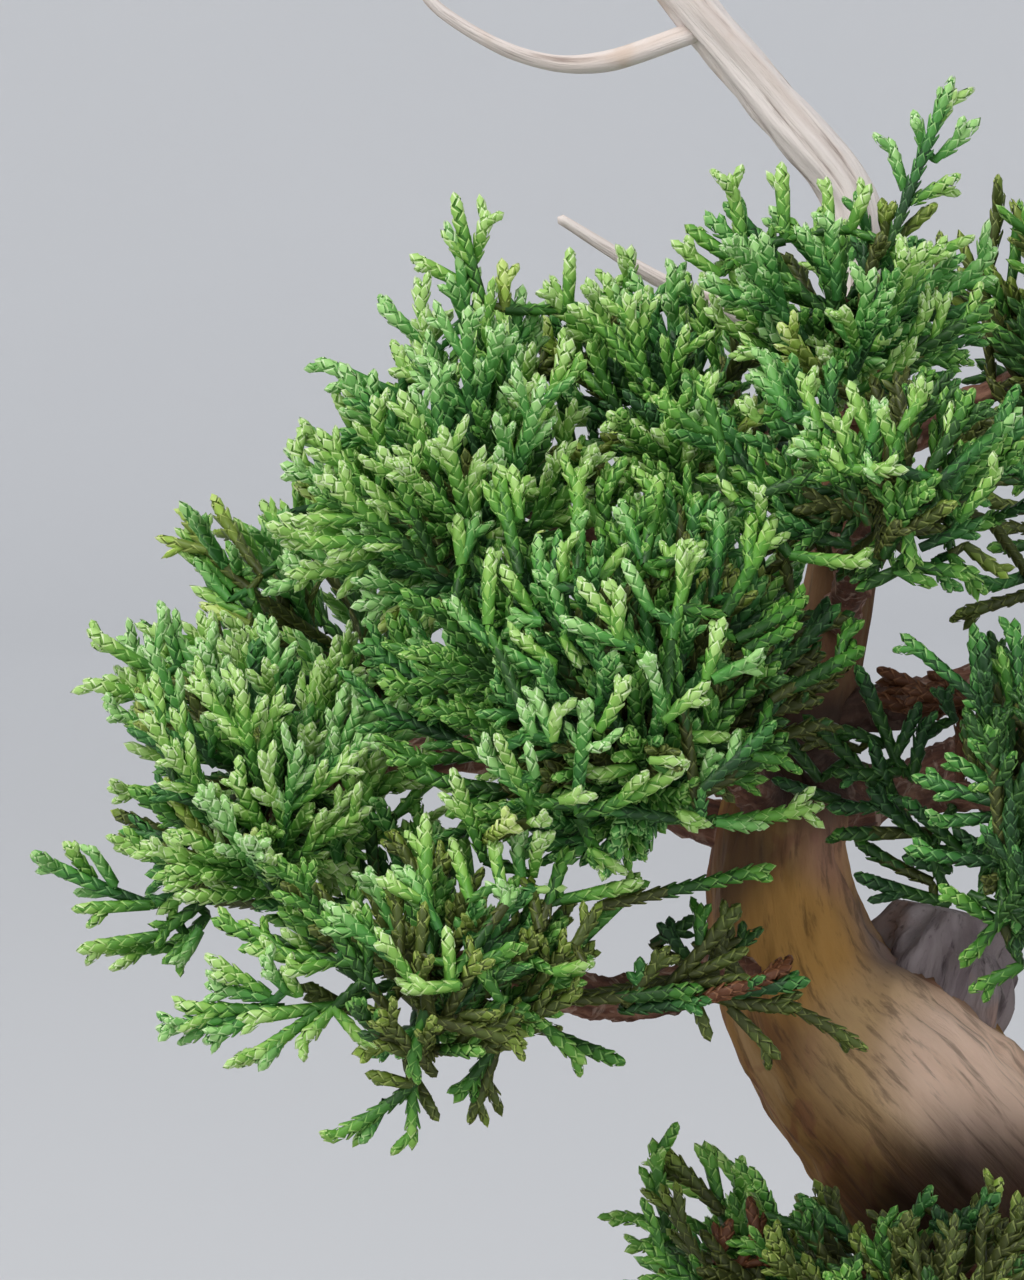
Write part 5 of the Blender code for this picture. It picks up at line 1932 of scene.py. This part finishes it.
class JUNIPER_OT_soil(Operator):
    """Fill the pot with soil and lay its grains on top"""

    bl_idname = "juniper.soil"
    bl_label = "Soil"

    def execute(self, context):
        soil = inside_block("Soil", SOIL_GAP, POT_FLOOR + SOIL_GAP, SOIL_LEVEL - SOIL_DROP)
        soil.data.materials.append(soil_finish())
        dress(soil, "soil", "soil")
        dress(self.grains(context.scene.juniper_pot.grain / MM), "soil")
        return {"FINISHED"}

    def places(self, dice, step):
        """Places in staggered rows inside the pot, off the trunk's foot."""
        half_length, half_width = (
            size / MM / 2 - RIM_PROUD / MM - POT_WALL / MM - WALL_GAP for size in (POT_LENGTH, POT_WIDTH)
        )
        trunk_foot = np.array(TRUNK_STATIONS[0][:2])
        for row in range(int(2 * half_width / step) + 1):
            for column in range(int(2 * half_length / step) + 1):
                x = -half_length + (column + 0.5 * (row % 2)) * step + dice.uniform(*GRAIN_SHIFTS)
                y = -half_width + row * step + dice.uniform(*GRAIN_SHIFTS)
                beyond_x = max(0, abs(x) - half_length + FILLED_CORNER)
                beyond_y = max(0, abs(y) - half_width + FILLED_CORNER)
                inside = abs(x) <= half_length and abs(y) <= half_width
                inside = inside and math.hypot(beyond_x, beyond_y) <= CORNER_SLACK
                if inside and np.linalg.norm(trunk_foot - (x, y)) >= TRUNK_GAP:
                    yield x, y

    def grains(self, size):
        """The grains, each a small rough stone of twenty faces."""
        dice = np.random.default_rng(11)
        deselect_all()
        bpy.ops.mesh.primitive_ico_sphere_add(subdivisions=1, radius=1)
        stone = added("stone")
        corners = np.array([v.co for v in stone.data.vertices])
        sides = np.array([p.vertices for p in stone.data.polygons])
        bpy.data.objects.remove(stone, do_unlink=True)
        points, faces, slots = [], [], []
        for x, y in self.places(dice, size * GRAIN_STEP):
            radius = size * dice.uniform(*GRAIN_RADII)
            angle = dice.uniform(0, ABOUT_A_TURN)
            turn = Matrix.Rotation(angle, 3, Vector(dice.normal(size=3)).normalized())
            dents = dice.uniform(*GRAIN_DENTS, (len(corners), 1))
            shape = corners * dents * dice.uniform(*GRAIN_STRETCHES, 3)
            z = SOIL_LEVEL / MM - radius * GRAIN_SUNK + dice.uniform(*GRAIN_HEIGHTS)
            points.append(shape @ np.array(turn) * radius + (x, y, z))
            faces.append(sides + len(corners) * len(faces))
            slots.append(np.full(len(sides), dice.choice(len(GRAIN_SHARES), p=GRAIN_SHARES)))
        points, faces, slots = (np.concatenate(arrays) for arrays in (points, faces, slots))
        materials = plain_materials(GRAIN_COLOURS, 0.9, 0.15)
        return new_object(mesh_from_arrays("Soil_grains", points, faces, materials, slots, smooth=False))


# Stage, in metres: the lamps' places, sizes and colours, and the floor that sweeps up to a wall

LAMP_TARGET = Vector((0, 0, 0.08))
KEY_LAMP = ((-0.95, -1.05, 1.9), 1.5, (1.0, 0.985, 0.96))
FILL_LAMP = ((1.3, -1.2, 0.6), 1.3, (0.95, 0.97, 1.0))
ROOM_COLOUR = srgb(222, 228, 238)
NEAREST_SEEN = 0.01
FLOOR_RADIUS = 1.3
SWEEP = 0.7
SWEEP_STEPS = 10
SWEEP_STEP_ANGLE = 9
WALL_HEIGHT = 1.1
SPIN_STEPS = 96


def paper_finish(colour):
    """Pale paper with faint mottling, a little darker round the pot."""
    paper = Finish("Pale_paper", 0.9, 0.1)
    place = paper.place()
    mottle = paper.noise(place, 6.0, 2.0, 0.5)
    even = paper.mix(mottle, tuple(colour), tuple(1.03 * value for value in colour))
    middle = paper.near(place, (0, 0, 0), FLOOR_RADIUS / MM)
    paper.colour(paper.mix(middle, even, tuple(0.90 * value for value in colour)))
    return paper.material


class JuniperStage(PropertyGroup):
    """The studio round the bonsai."""

    floor: FloatVectorProperty(
        name="Floor",
        description="Colour of the floor and of the wall it sweeps up to",
        default=srgb(219, 220, 222),
        subtype="COLOR",
        size=3,
        min=0,
        max=1,
    )
    key: FloatProperty(
        name="Key light",
        description="Power of the large soft light above the viewer's left",
        default=40.0,
        unit="POWER",
    )
    fill: FloatProperty(
        name="Fill light",
        description="Power of the weaker light from the right",
        default=6.0,
        unit="POWER",
    )
    sky: FloatProperty(
        name="Room light",
        description="Strength of the even light from all round",
        default=0.45,
    )


class JUNIPER_OT_stage(Operator):
    """Set the camera, the lights, and the floor that sweeps up to a round wall"""

    bl_idname = "juniper.stage"
    bl_label = "Stage"

    def execute(self, context):
        settings = context.scene.juniper_stage
        self.camera(context)
        self.lamp("Key", settings.key, *KEY_LAMP)
        self.lamp("Fill", settings.fill, *FILL_LAMP)
        self.room(context, settings.sky)
        self.floor(settings.floor)
        context.scene.view_settings.view_transform = "Standard"
        return {"FINISHED"}

    def camera(self, context):
        deselect_all()
        tilt = (math.pi / 2 - CAMERA_ELEVATION, 0, 0)
        bpy.ops.object.camera_add(location=CAMERA_PLACE * MM, rotation=tilt)
        camera = bpy.context.active_object
        camera.data.sensor_width = SENSOR
        camera.data.lens = SENSOR * CAMERA_DISTANCE * PIXELS_PER_MM / PICTURE_HEIGHT
        camera.data.clip_start = NEAREST_SEEN
        context.scene.camera = camera

    def lamp(self, name, power, place, size, colour):
        deselect_all()
        aim = (LAMP_TARGET - Vector(place)).to_track_quat("-Z", "Y").to_euler()
        bpy.ops.object.light_add(type="AREA", location=place, rotation=aim)
        lamp = bpy.context.active_object
        lamp.name = name
        lamp.data.shape = "DISK"
        lamp.data.size = size
        lamp.data.energy = power
        lamp.data.color = colour

    def room(self, context, strength):
        """Even light from all round."""
        world = bpy.data.worlds.new("Room")
        world.use_nodes = True
        background = world.node_tree.nodes["Background"]
        background.inputs["Color"].default_value = (*ROOM_COLOUR, 1)
        background.inputs["Strength"].default_value = strength
        context.scene.world = world

    def floor(self, colour):
        """A round floor whose edge sweeps up to a wall, spun from its profile."""
        profile = [(0.0, 0.0), (FLOOR_RADIUS, 0.0)]
        for k in range(1, SWEEP_STEPS + 1):
            angle = math.radians(SWEEP_STEP_ANGLE * k)
            profile.append((FLOOR_RADIUS + SWEEP * math.sin(angle), SWEEP * (1 - math.cos(angle))))
        profile.append((FLOOR_RADIUS + SWEEP, WALL_HEIGHT))
        mesh = bpy.data.meshes.new("Floor")
        mesh.from_pydata([(x, 0, z) for x, z in profile], [(k, k + 1) for k in range(len(profile) - 1)], [])
        floor = new_object(mesh)
        select_only(floor)
        bpy.ops.object.mode_set(mode="EDIT")
        bpy.ops.mesh.select_all(action="SELECT")
        bpy.ops.mesh.spin(steps=SPIN_STEPS, angle=math.tau, center=(0, 0, 0), axis=(0, 0, 1))
        bpy.ops.mesh.select_all(action="SELECT")
        bpy.ops.mesh.remove_doubles(threshold=0.0001)
        bpy.ops.mesh.normals_make_consistent(inside=True)
        bpy.ops.object.mode_set(mode="OBJECT")
        bpy.ops.object.shade_smooth()
        floor.data.materials.append(paper_finish(colour))


class JUNIPER_PT_panel(Panel):
    """Lists the bonsai's pieces."""

    bl_label = "Juniper bonsai"
    bl_idname = "JUNIPER_PT_panel"
    bl_space_type = "VIEW_3D"
    bl_region_type = "UI"
    bl_category = "Juniper"

    def draw(self, context):
        layout = self.layout
        for operator in PIECES:
            layout.operator(operator.bl_idname)
        for group in SETTINGS:
            settings = getattr(context.scene, group)
            for name in settings.bl_rna.properties.keys():
                if name not in ("name", "rna_type"):
                    layout.prop(settings, name)


PIECES = (
    JUNIPER_OT_stage,
    JUNIPER_OT_pot,
    JUNIPER_OT_soil,
    JUNIPER_OT_trunk,
    JUNIPER_OT_boughs,
    JUNIPER_OT_deadwood,
    JUNIPER_OT_foliage,
)
SETTINGS = {
    "juniper_stage": JuniperStage,
    "juniper_pot": JuniperPot,
    "juniper_bark": JuniperBark,
    "juniper_foliage": JuniperFoliage,
}
CLASSES = (*SETTINGS.values(), *PIECES, JUNIPER_PT_panel)


def register():
    for item in CLASSES:
        bpy.utils.register_class(item)
    for name, group in SETTINGS.items():
        setattr(bpy.types.Scene, name, PointerProperty(type=group))


def unregister():
    for name in SETTINGS:
        delattr(bpy.types.Scene, name)
    for item in reversed(CLASSES):
        bpy.utils.unregister_class(item)


def main():
    register()
    bpy.ops.juniper.stage()
    bpy.ops.juniper.pot()
    bpy.ops.juniper.soil()
    bpy.ops.juniper.trunk()
    bpy.ops.juniper.boughs()
    bpy.ops.juniper.deadwood()
    bpy.ops.juniper.foliage()


if __name__ == "__main__":
    main()
